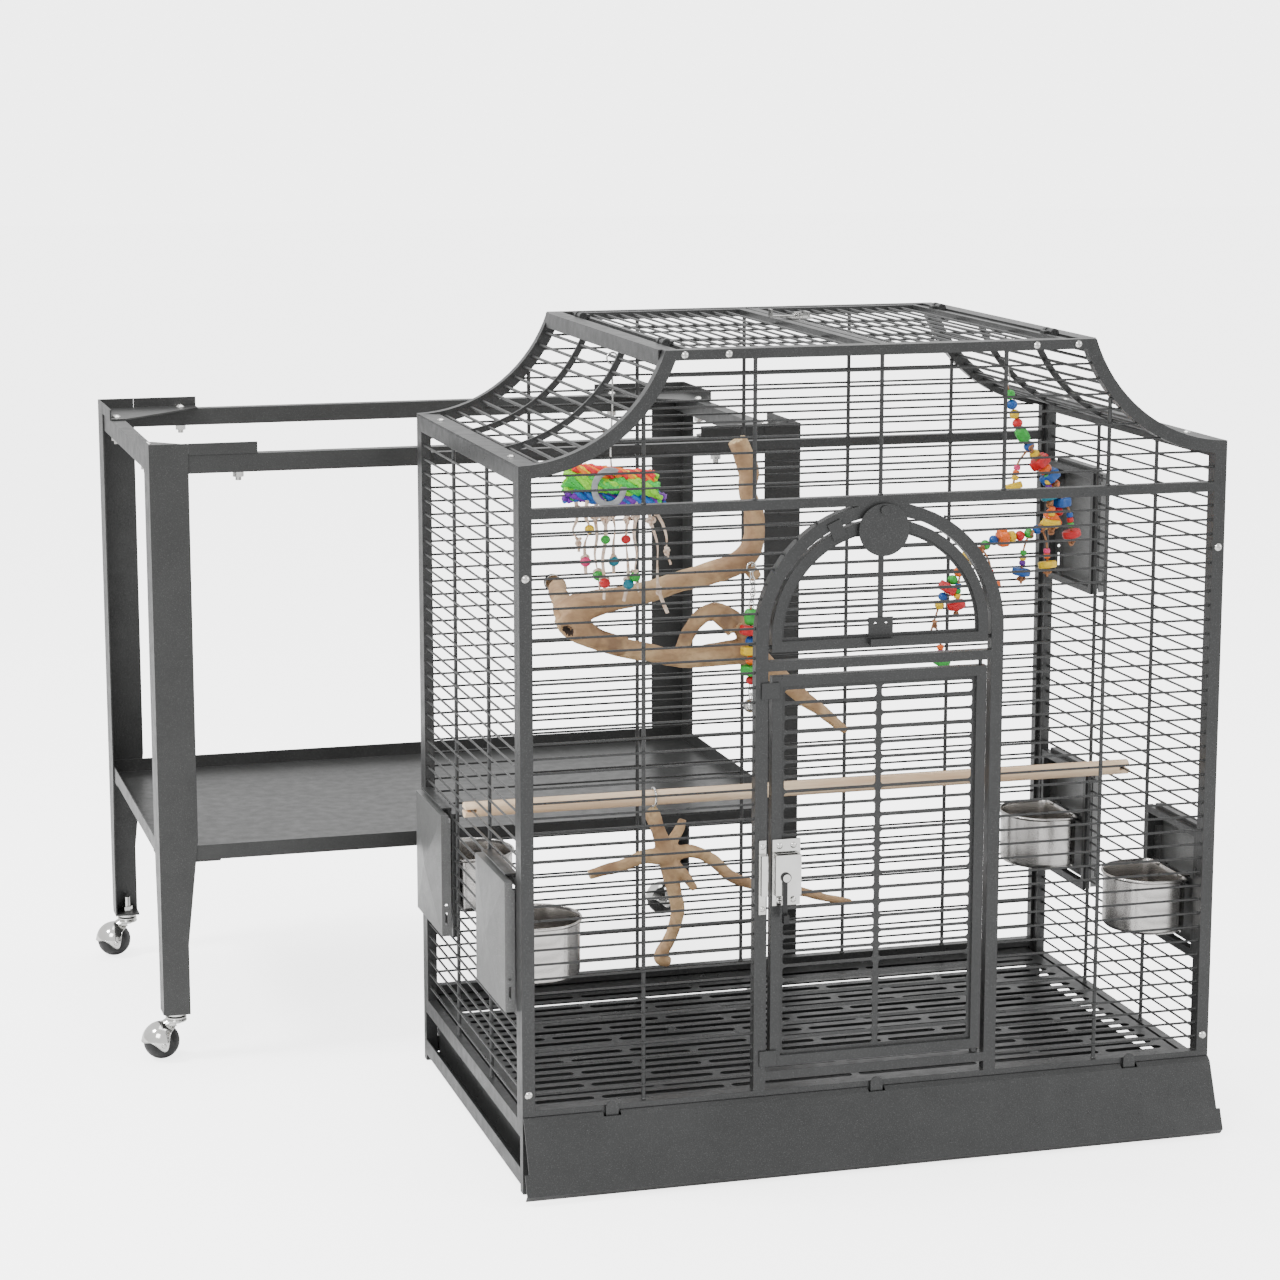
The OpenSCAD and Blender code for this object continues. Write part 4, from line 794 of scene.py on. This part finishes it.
# faces in the knot hole take the dark material, which is painted shade inside the hole
for p in me.polygons:
    c = p.center
    if (c - hole).length < 0.0082:
        p.material_index = 2
    else:
        for q, axis, r in ends:
            if (c - q).length < r and p.normal.dot(axis) > 0.75:
                p.material_index = 1
up = place(me, "branch_upper", "cage", [], 0)

lower = [
    [(EYE_X, MID_Y, PERCH_Z - 24, 8.5), (247, MID_Y - 1, 398, 10.5), (256, MID_Y - 2, 372, 9.5),
        (266, MID_Y, 344, 12.5), (272, MID_Y + 4, 322, 12), (278, MID_Y + 1, 290, 9.5),
        (282, MID_Y, 262, 9), (272, MID_Y + 2, 228, 8.5), (256, MID_Y - 4, 204, 8.5),
        (270, MID_Y, 196, 7)],
    [(268, MID_Y, 338, 12), (236, MID_Y - 2, 342, 9.5), (206, MID_Y - 2, 332, 8),
        (178, MID_Y, 326, 7.5), (161, MID_Y, 322, 6.5)],
    [(270, MID_Y, 340, 11), (300, MID_Y + 3, 344, 9), (330, MID_Y + 4, 330, 8),
        (358, MID_Y + 2, 304, 8), (398, MID_Y + 1, 290, 7), (440, MID_Y, 282, 6.5),
        (486, MID_Y, 268, 5.5), (524, MID_Y, 258, 4.5)],
    [(268, MID_Y, 336, 9), (288, MID_Y - 4, 316, 7.5), (304, MID_Y - 6, 294, 5)],
    [(268, MID_Y + 2, 348, 8), (286, MID_Y + 8, 372, 7), (292, MID_Y + 10, 386, 5.5)],
]
me = organic("branch_lower", lower, 0.0017, 0.0010)
ends = [
    (at_cage(EYE_X, MID_Y, PERCH_Z - 22), Vector((0, 0, 1)), 0.013),
    (at_cage(524, MID_Y, 258), Vector((1, 0, -0.25)).normalized(), 0.009),
    (at_cage(161, MID_Y, 322), Vector((-1, 0, -0.2)).normalized(), 0.009),
]
for p in me.polygons:
    c = p.center
    for q, axis, r in ends:
        if (c - q).length < r and p.normal.dot(axis) > 0.72:
            p.material_index = 1
place(me, "branch_lower", "cage", [], 0)

# eye, hook pin and rear bolt of the branches
s = Shape()
hoop(s, (EYE_X, MID_Y, PERCH_Z), 12.4, 0.0016, 40, "yz", 10)
s.tube([at_cage(EYE_X, MID_Y, PERCH_Z - 32), at_cage(EYE_X, MID_Y, PERCH_Z - 12)], 0.0016,
    M["chrome"], 10)
HOOK_X, HOOK_Y, HOOK_Z = 377, CAGE_D / 2 - 13, 724
s.tube([at_cage(HOOK_X, HOOK_Y + 18, HOOK_Z), at_cage(HOOK_X, HOOK_Y - 4, HOOK_Z),
    at_cage(HOOK_X, HOOK_Y - 5, HOOK_Z + 3.2)], 0.0016, M["chrome"], 10)
s.tube([at_cage(SCREW_X, CAGE_D - 50, SCREW_Z), at_cage(SCREW_X, CAGE_D + 4, SCREW_Z)], 0.0025,
    M["chrome"], 16)
s.lathe(at_cage(SCREW_X, CAGE_D - 12, SCREW_Z), (0, 1, 0),
    [(0.003, -0.001), (0.011, -0.001), (0.0115, 0), (0.011, 0.0015), (0.003, 0.0015)], M["chrome"],
    32)
s.lathe(at_cage(SCREW_X, CAGE_D - 5, SCREW_Z), (0, 1, 0),
    [(0.003, 0), (0.0112, 0), (0.0115, 0.001), (0.0105, 0.002), (0.003, 0.002)], M["chrome"], 32)
s.lathe(at_cage(SCREW_X, CAGE_D - 2.8, SCREW_Z), (0, 1, 0),
    [(0.002, 0), (0.0052, 0), (0.0052, 0.0048), (0.0045, 0.0055), (0.002, 0.0055)], M["chrome"], 6)
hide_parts("branches")
s.make("branch_fittings", "cage", "branch_wood", smooth=30)

# ---- toys ----------------------------------------------------------------------------
# centre of the roof slat that the rope and bead toys hang from
SLAT_ANGLE = math.asin((CAGE_H - 3 - OGEE_Z) / (OGEE_R + 1)) - math.radians(7)
SLAT_R = OGEE_R + 7
SLAT_X = OGEE_X + SLAT_R * math.cos(SLAT_ANGLE)
SLAT_Z = OGEE_Z + SLAT_R * math.sin(SLAT_ANGLE)


def bead(s, p, d, color, axis=(0, 0, 1)):
    """A round bead of diameter d."""
    s.ball(p, d / 2000, paint(color), axis, 0.9, hole=0.0016)


def pony(s, p, d, h, color, axis=(0, 0, 1)):
    """A barrel bead of diameter d and height h."""
    r, k = d / 2000, h / 2000
    s.lathe(p, axis, [(r * 0.35, -k * 0.8), (r * 0.7, -k), (r * 0.92, -k * 0.8), (r, -k * 0.3),
        (r, k * 0.3), (r * 0.92, k * 0.8), (r * 0.7, k), (r * 0.35, k * 0.8)], paint(color, 0.28),
        18)


def disc(s, p, d, h, color, axis=(0, 0, 1), lobes=0, depth=0.0):
    """A flat disc bead, with petals when lobes is set."""
    r, k = d / 2000, h / 2000
    s.lathe(p, axis, [(r * 0.15, -k), (r * 0.9, -k), (r * 0.98, -k * 0.8), (r, -k * 0.4),
        (r, k * 0.4), (r * 0.98, k * 0.8), (r * 0.9, k), (r * 0.15, k)], paint(color, 0.45), 36,
        lobes, depth)


def measured(pts):
    """The path's length, and a function from a distance along it to (point, direction)."""
    tiny, acc = 1e-9, [0.0]
    for a, b in zip(pts, pts[1:]):
        acc.append(acc[-1] + (b - a).length)

    def at(d):
        for i in range(len(pts) - 1):
            if d <= acc[i + 1] + tiny:
                t = (d - acc[i]) / max(tiny, acc[i + 1] - acc[i])
                return pts[i].lerp(pts[i + 1], t), (pts[i + 1] - pts[i]).normalized()
        return pts[-1], (pts[-1] - pts[-2]).normalized()
    return acc[-1], at


def link_chain(s, pts, size, wire):
    """Interlinked oval chrome links along a path, alternate ones turned a quarter."""
    length, at = measured([Vector(p) for p in pts])
    n = max(2, round(length / (size * 0.72)))
    pitch = length / n
    for k in range(n):
        c, t = at((k + 0.5) * pitch)
        ref = Vector((0, 1, 0)) if abs(t.y) < 0.8 else Vector((1, 0, 0))
        u = t.cross(ref).normalized()
        v = t.cross(u).normalized()
        side = (u + v).normalized() if k % 2 else (u - v).normalized()
        L, w = (pitch * 1.36) / 2, size * 0.28
        ring = []
        for j in range(20):
            a = 2 * math.pi * j / 20
            ca, sa = math.cos(a), math.sin(a)
            ring.append(c + t * (L - w) * (1 if ca > 0 else -1) * min(1, abs(ca) * 4) + t * w * ca
                + side * w * sa)
        s.tube(ring, wire / 2, M["chrome"], 8, closed=True)


def strap(s, pts, width, thick, mat, twist=0.0):
    """A flat leather strip along a path, edges rounded, turning as it goes."""
    pth = [Vector(p) for p in smooth_path([tuple(p) for p in pts], 7)]
    k, n = len(pth), 10
    rings = []
    for i, p in enumerate(pth):
        t = (pth[min(i + 1, k - 1)] - pth[max(i - 1, 0)]).normalized()
        ref = Vector((0, 1, 0)) if abs(t.y) < 0.8 else Vector((1, 0, 0))
        a = t.cross(ref).normalized()
        b = t.cross(a).normalized()
        ang = twist * i / k
        u, v = a * math.cos(ang) + b * math.sin(ang), b * math.cos(ang) - a * math.sin(ang)
        ring = []
        for j in range(n):
            q = 2 * math.pi * j / n
            cx, sx = math.cos(q), math.sin(q)
            ring.append(p + u * width / 2 * math.copysign(abs(cx) ** 0.6, cx)
                + v * thick / 2 * math.copysign(abs(sx) ** 0.6, sx))
        rings.append(ring)
    s.ringset(rings, mat)


def knotted(s, p, r, mat, turn=0.0):
    """An overhand knot: a small trefoil tube."""
    p = Vector(p)
    pts = []
    for i in range(36):
        a = 2 * math.pi * i / 36
        x, y = math.sin(a) + 2 * math.sin(2 * a), math.cos(a) - 2 * math.cos(2 * a)
        z = -math.sin(3 * a)
        q = Vector((x, z * 1.2, y)) * (r / 3.2)
        q = Matrix.Rotation(turn, 3, "Z") @ q
        pts.append(p + q)
    s.tube(pts, r * 0.30, mat, 8, closed=True)


def paper_rope(s, p0, p1, r, colors, turns, strands, seed):
    """A fat twist of crinkled paper strands with frayed ends."""
    g = random.Random(seed)
    p0, p1 = Vector(p0), Vector(p1)
    t = (p1 - p0).normalized()
    u = t.cross(Vector((0, 1, 0))).normalized()
    v = t.cross(u).normalized()
    for k in range(strands):
        ph = 2 * math.pi * k / strands + g.uniform(-0.2, 0.2)
        rr = r * (0.62 if k % 2 else 0.36) * g.uniform(0.85, 1.1)
        sr = r * g.uniform(0.26, 0.36)
        e0, e1 = g.uniform(-0.10, 0.04), g.uniform(-0.04, 0.10)
        steps = 34
        pts = []
        for i in range(steps + 1):
            f = e0 + (1 + e1 - e0) * i / steps
            a = ph + turns * 2 * math.pi * f
            swell = 1 + 0.13 * math.sin(9 * f + k)
            if f < 0.05 or f > 0.95:
                swell *= 1.0 + 3.5 * max(0.05 - f, f - 0.95)
            pts.append(p0 + (p1 - p0) * f + (u * math.cos(a) + v * math.sin(a)) * rr * swell
                + Vector((g.uniform(-1, 1), g.uniform(-1, 1), g.uniform(-1, 1))) * r * 0.045)

        def thickness(q, sr=sr, ph=ph):
            return sr * (1 + 0.22 * math.sin(31 * q + ph) + 0.14 * math.sin(71 * q))
        s.tube(pts, thickness, crinkle(colors[k % len(colors)]), 8)


# striped paper-rope toy
ROPE_X, ROPE_Y, ROPE_Z = SLAT_X + 5, 224, 862
s = Shape()
paper_rope(s, at_cage(ROPE_X - 56, ROPE_Y, ROPE_Z + 2),
    at_cage(ROPE_X + 44, ROPE_Y - 2, ROPE_Z - 12), 0.0105, ["yellow", "orange", "lime", "red"], 1.6,
    13, 3)
paper_rope(s, at_cage(ROPE_X - 60, ROPE_Y - 6, ROPE_Z - 13),
    at_cage(ROPE_X + 46, ROPE_Y - 7, ROPE_Z - 25), 0.0120, ["green", "lime", "green"], 1.4, 15, 5)
paper_rope(s, at_cage(ROPE_X - 58, ROPE_Y + 3, ROPE_Z - 29),
    at_cage(ROPE_X + 54, ROPE_Y, ROPE_Z - 42), 0.0115, ["purple", "blue", "green", "purple"], 1.5,
    14, 8)
hoop(s, (SLAT_X, ROPE_Y, SLAT_Z - 2.5), 7, 0.0012, 32)
hanger = [
    (SLAT_X, ROPE_Y, SLAT_Z - 8.6), (SLAT_X, ROPE_Y, 940), (SLAT_X - 3, ROPE_Y - 4, 905),
    (SLAT_X - 3, ROPE_Y - 3, 878), (SLAT_X, ROPE_Y - 1, ROPE_Z - 6),
]
s.tube(smooth_path([tuple(at_cage(*p)) for p in hanger], 8), 0.0012, M["chrome"], 8)
hoop_x = ROPE_X - 14
arc = []
for i in range(41):
    a = math.radians(60 + 300 * i / 40)
    x, y, z = 19 * math.cos(a), -17 - 3 * math.sin(a), -20 + 22 * math.sin(a)
    arc.append(tuple(at_cage(hoop_x + x, ROPE_Y + y, ROPE_Z + z)))
strap(s, arc, 0.0085, 0.0030, paint("grey", 0.3))
g = random.Random(5)
ends = []
for k in range(9):
    x = ROPE_X - 54 + 13 * k + g.uniform(-3, 3)
    L = [66, 92, 118, 128, 96, 132, 120, 150, 88][k]
    y = ROPE_Y - 4 + g.uniform(-6, 6)
    z0 = ROPE_Z - 36
    pts = [tuple(at_cage(x, y, z0))]
    for i in range(1, 6):
        pts.append(tuple(at_cage(x + g.uniform(-4, 4) + (6 if k > 6 else 0) * i * 0.8,
            y + g.uniform(-3, 3), z0 - L * i / 5)))
    strap(s, pts, 0.0048, 0.0016, M["leather"], g.uniform(1.0, 4.5))
    knotted(s, pts[1], 0.0062, M["leather"], g.uniform(0, 3))
    knotted(s, pts[4], 0.0058, M["leather"], g.uniform(0, 3))
    ends.append(pts[-2])
    if k in (1, 3, 5):
        bead(s, Vector(pts[2]), 12.5, ["yellow", "green", "red"][k // 2])
for k, cname in ((1, "pink"), (2, "green"), (3, "red"), (4, "teal"), (5, "teal"), (6, "green")):
    bead(s, Vector(ends[k]) + Vector((0, -0.002, -0.004)), 14, cname)
s.make("rope_toy", "hanging_rope", "toy_fabric", ["toy_rope"], smooth=60)

# string of beads and blocks
BEADS_X, BEADS_Y = CAGE_W - SLAT_X, CAGE_D / 2 + 10
s = Shape()
path = [(0, 945), (22, 880), (80, 790), (42, 748), (-23, 735), (-78, 680), (-102, 620)]
pth = smooth_path([(BEADS_X + x, BEADS_Y, z) for x, z in path], 14)
line = [at_cage(*p) for p in pth]
s.tube(line, 0.0014, M["cord"], 8)
hoop(s, (BEADS_X, BEADS_Y, SLAT_Z - 2.5), 7, 0.0013, 32)
s.tube([at_cage(BEADS_X, BEADS_Y, SLAT_Z - 8.6), at_cage(BEADS_X, BEADS_Y, 962)], 0.0013,
    M["chrome"], 8)
link_chain(s, [at_cage(BEADS_X, BEADS_Y, 968), at_cage(BEADS_X, BEADS_Y, 944)], 0.011, 0.0016)
string_length, along = measured(line)
# (kind, size, colour): b ball, c long bead, s flower disc, k short bead
string_beads = [
    ("b", 15, "green"), ("b", 15, "blue"), ("b", 14, "yellow"), ("b", 14, "red"),
    ("c", 17, "green"), ("b", 15, "blue"), ("b", 14, "yellow"), ("s", 27, "red"),
    ("k", 18, "orange"), ("s", 27, "blue"), ("b", 14, "orange"), ("b", 14, "green"),
    ("s", 26, "blue"), ("b", 14, "red"), ("s", 26, "orange"), ("b", 14, "yellow"),
    ("b", 13, "blue"), ("b", 14, "green"), ("b", 14, "red"), ("k", 16, "yellow"),
    ("s", 24, "orange"), ("b", 14, "blue"), ("b", 14, "green"), ("b", 13, "red"),
    ("s", 25, "yellow"), ("b", 14, "blue"), ("b", 14, "orange"), ("b", 14, "green"),
    ("s", 24, "red"), ("b", 13, "blue"), ("b", 13, "yellow"),
]
d = 0.006
for kind, size, cname in string_beads:
    step = {"b": size * 0.9, "c": 22, "s": 13, "k": 11}[kind] / 1000
    if d + step > string_length - 0.002:
        break
    c, t = along(d + step / 2)
    if kind == "b":
        bead(s, c, size, cname, t)
    elif kind == "s":
        disc(s, c, size, 12, cname, t, 5, 0.10)
    else:
        pony(s, c, size, 21 if kind == "c" else 10, cname, t)
    d += step + 0.0004
g = random.Random(9)
# dangling cords: (share of the string, sideways reach, small beads, big bead)
danglers = [
    (0.16, -26, ["pink", "orange", "yellow"], "yellow"),
    (0.20, 16, ["green", "yellow", "purple"], "teal"),
    (0.30, -8, ["orange", "yellow"], "yellow"), (0.34, 14, ["blue", "red", "green"], "red"),
    (0.46, 8, ["pink", "orange"], "yellow"), (0.50, -14, ["green", "yellow", "purple"], "blue"),
    (0.66, 12, ["red", "yellow"], "orange"), (0.74, -10, ["blue", "green", "yellow"], "red"),
    (0.93, 8, ["orange", "pink"], "green"),
]
for f, dx, small, big in danglers:
    c, t = along(string_length * f + 0.02)
    end = c + Vector((dx / 1000, g.uniform(-0.010, -0.004), -0.050))
    mid = c.lerp(end, 0.5) + Vector((dx / 4000, -0.003, 0.006))
    pts = smooth_path([tuple(c), tuple(mid), tuple(end), tuple(end + Vector((0, 0, -0.012)))], 8)
    s.tube(pts, 0.0014, M["cord"], 8)
    knotted(s, c + Vector((0, -0.004, 0)), 0.0055, M["cord"], g.uniform(0, 3))
    ax = (end - mid).normalized()
    for i, cname in enumerate(small):
        pony(s, end - ax * (0.012 + 0.0068 * (len(small) - 1 - i)), 9, 6.4, cname, ax)
    disc(s, end, 25, 9, big, (g.uniform(-0.3, 0.3), g.uniform(-0.3, 0.3), 1))
    knotted(s, end + Vector((0, 0, -0.010)), 0.0055, M["cord"], g.uniform(0, 3))
s.make("bead_toy", "hanging_beads", "toy_wood", ["toy_beads"], smooth=50)

# chain toy
s = Shape()
hoop(s, (HOOK_X, HOOK_Y, HOOK_Z - 2.6), 6, 0.0012, 28)
link_chain(s, [at_cage(HOOK_X, HOOK_Y, HOOK_Z - 8), at_cage(HOOK_X + 3, HOOK_Y, 694),
    at_cage(HOOK_X, HOOK_Y, 668)], 0.0115, 0.0017)
s.tube([at_cage(HOOK_X, HOOK_Y, 670), at_cage(HOOK_X, HOOK_Y, 566)], 0.0014, M["cord"], 8)
for threaded, z, *shape in (
    (pony, 656, 18, 20, "green"), (disc, 638, 28, 12, "red", (0.1, 0.05, 1), 5, 0.10),
    (bead, 624, 15, "blue"), (disc, 611, 26, 11, "yellow", (0, 0.08, 1), 5, 0.08),
    (bead, 598, 14, "orange"), (disc, 585, 26, 12, "green", (0.05, 0, 1), 4, 0.08),
    (bead, 572, 13, "red"),
):
    threaded(s, at_cage(HOOK_X, HOOK_Y, z), *shape)
link_chain(s, [at_cage(HOOK_X, HOOK_Y, 567), at_cage(HOOK_X, HOOK_Y, 547)], 0.0105, 0.0015)
s.ball(at_cage(HOOK_X, HOOK_Y, 538), 0.0095, M["chrome"], (0, 0, 1), 0.95, n=28, m=18)
hoop(s, (HOOK_X, HOOK_Y, 538), 9.6, 0.0009, 36, "xy")
s.make("chain_toy", "hanging_chain", "toy_plastic", ["toy_chain"], smooth=50)

# ---- support chain of the landing door ----------------------------------------------
# in the gap between the arch and the landing door, behind the front frame
CHAIN_R, CHAIN_Y = 143.2, 17.5
s = Shape()
a0, a1 = math.radians(148), math.radians(176)
pts = []
for i in range(13):
    a = a0 + (a1 - a0) * i / 12
    pts.append(at_cage(MID_X + CHAIN_R * math.cos(a), CHAIN_Y, ARCH_Z + CHAIN_R * math.sin(a)))
link_chain(s, pts, 0.0075, 0.0012)
chain = s.make("door_chain", None, "chrome", [], smooth=60)
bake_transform(chain)

# ---- floor, backdrop, lights and camera ---------------------------------------------
WHITE, AMBIENT = 3.2, 1.25  # glow as seen by the camera only, and light from all round
floor_mat = Mat("studio_floor", col(0.97, 0.97, 0.97), 0.55)
floor_mat.base(floor_mat.mix(floor_mat.maprange(floor_mat.noise(3, 2), 0.3, 0.7, 0, 1),
    col(0.97, 0.97, 0.97), col(0.955, 0.955, 0.957)))
floor_mat.p.inputs["Emission Color"].default_value = (1, 1, 1, 1)
seen = floor_mat.n("ShaderNodeLightPath")
glow = floor_mat.n("ShaderNodeMath", operation="MULTIPLY")
glow.inputs[1].default_value = WHITE
floor_mat.link(seen.outputs["Is Camera Ray"], glow.inputs[0])
floor_mat.link(glow.outputs[0], floor_mat.p.inputs["Emission Strength"])
bpy.ops.mesh.primitive_plane_add(size=40, location=(0, 0, -0.0005))
floor = bpy.context.object
floor.name = "studio_floor"
floor.data.materials.append(floor_mat.m)

world = bpy.data.worlds.new("studio")
bpy.context.scene.world = world
world.use_nodes = True
wt = world.node_tree
back = wt.nodes["Background"]
back.inputs["Color"].default_value = (1, 1, 1, 1)
ray = wt.nodes.new("ShaderNodeLightPath")
level = wt.nodes.new("ShaderNodeMath")
level.operation = "MULTIPLY_ADD"
level.inputs[1].default_value = WHITE
level.inputs[2].default_value = AMBIENT
wt.links.new(ray.outputs["Is Camera Ray"], level.inputs[0])
wt.links.new(level.outputs[0], back.inputs["Strength"])


def area(name, loc, target, size, power):
    """A square area light aimed at a point."""
    lamp = bpy.data.lights.new(name, "AREA")
    lamp.shape, lamp.size, lamp.energy = "SQUARE", size, power
    o = bpy.data.objects.new(name, lamp)
    bpy.context.scene.collection.objects.link(o)
    o.location = loc
    o.rotation_euler = (Vector(target) - Vector(loc)).to_track_quat("-Z", "Y").to_euler()


area("key", (-2.6, -3.0, 3.4), (0, 0, 0.5), 1.8, 110)
area("left", (-2.4, 0.1, 2.7), (-0.3, -0.3, 0.3), 0.6, 90)
area("fill", (3.2, -2.2, 2.0), (0, 0, 0.5), 2.2, 45)
area("top", (0.3, 0.6, 3.6), (0, 0, 0.4), 2.6, 70)

cam = bpy.data.cameras.new("camera")
cam.sensor_width, cam.lens = 36.0, 92.19
cam.clip_start, cam.clip_end = 0.05, 60
camera = bpy.data.objects.new("camera", cam)
bpy.context.scene.collection.objects.link(camera)
CAMERA_PLACE, LOOK_DOWN, TURN = Vector((-0.9133, -3.7258, 1.4079)), 0.1843, -0.2778
camera.location = CAGE + CAMERA_PLACE
camera.rotation_euler = (math.pi / 2 - LOOK_DOWN, 0.0, TURN)
bpy.context.scene.camera = camera
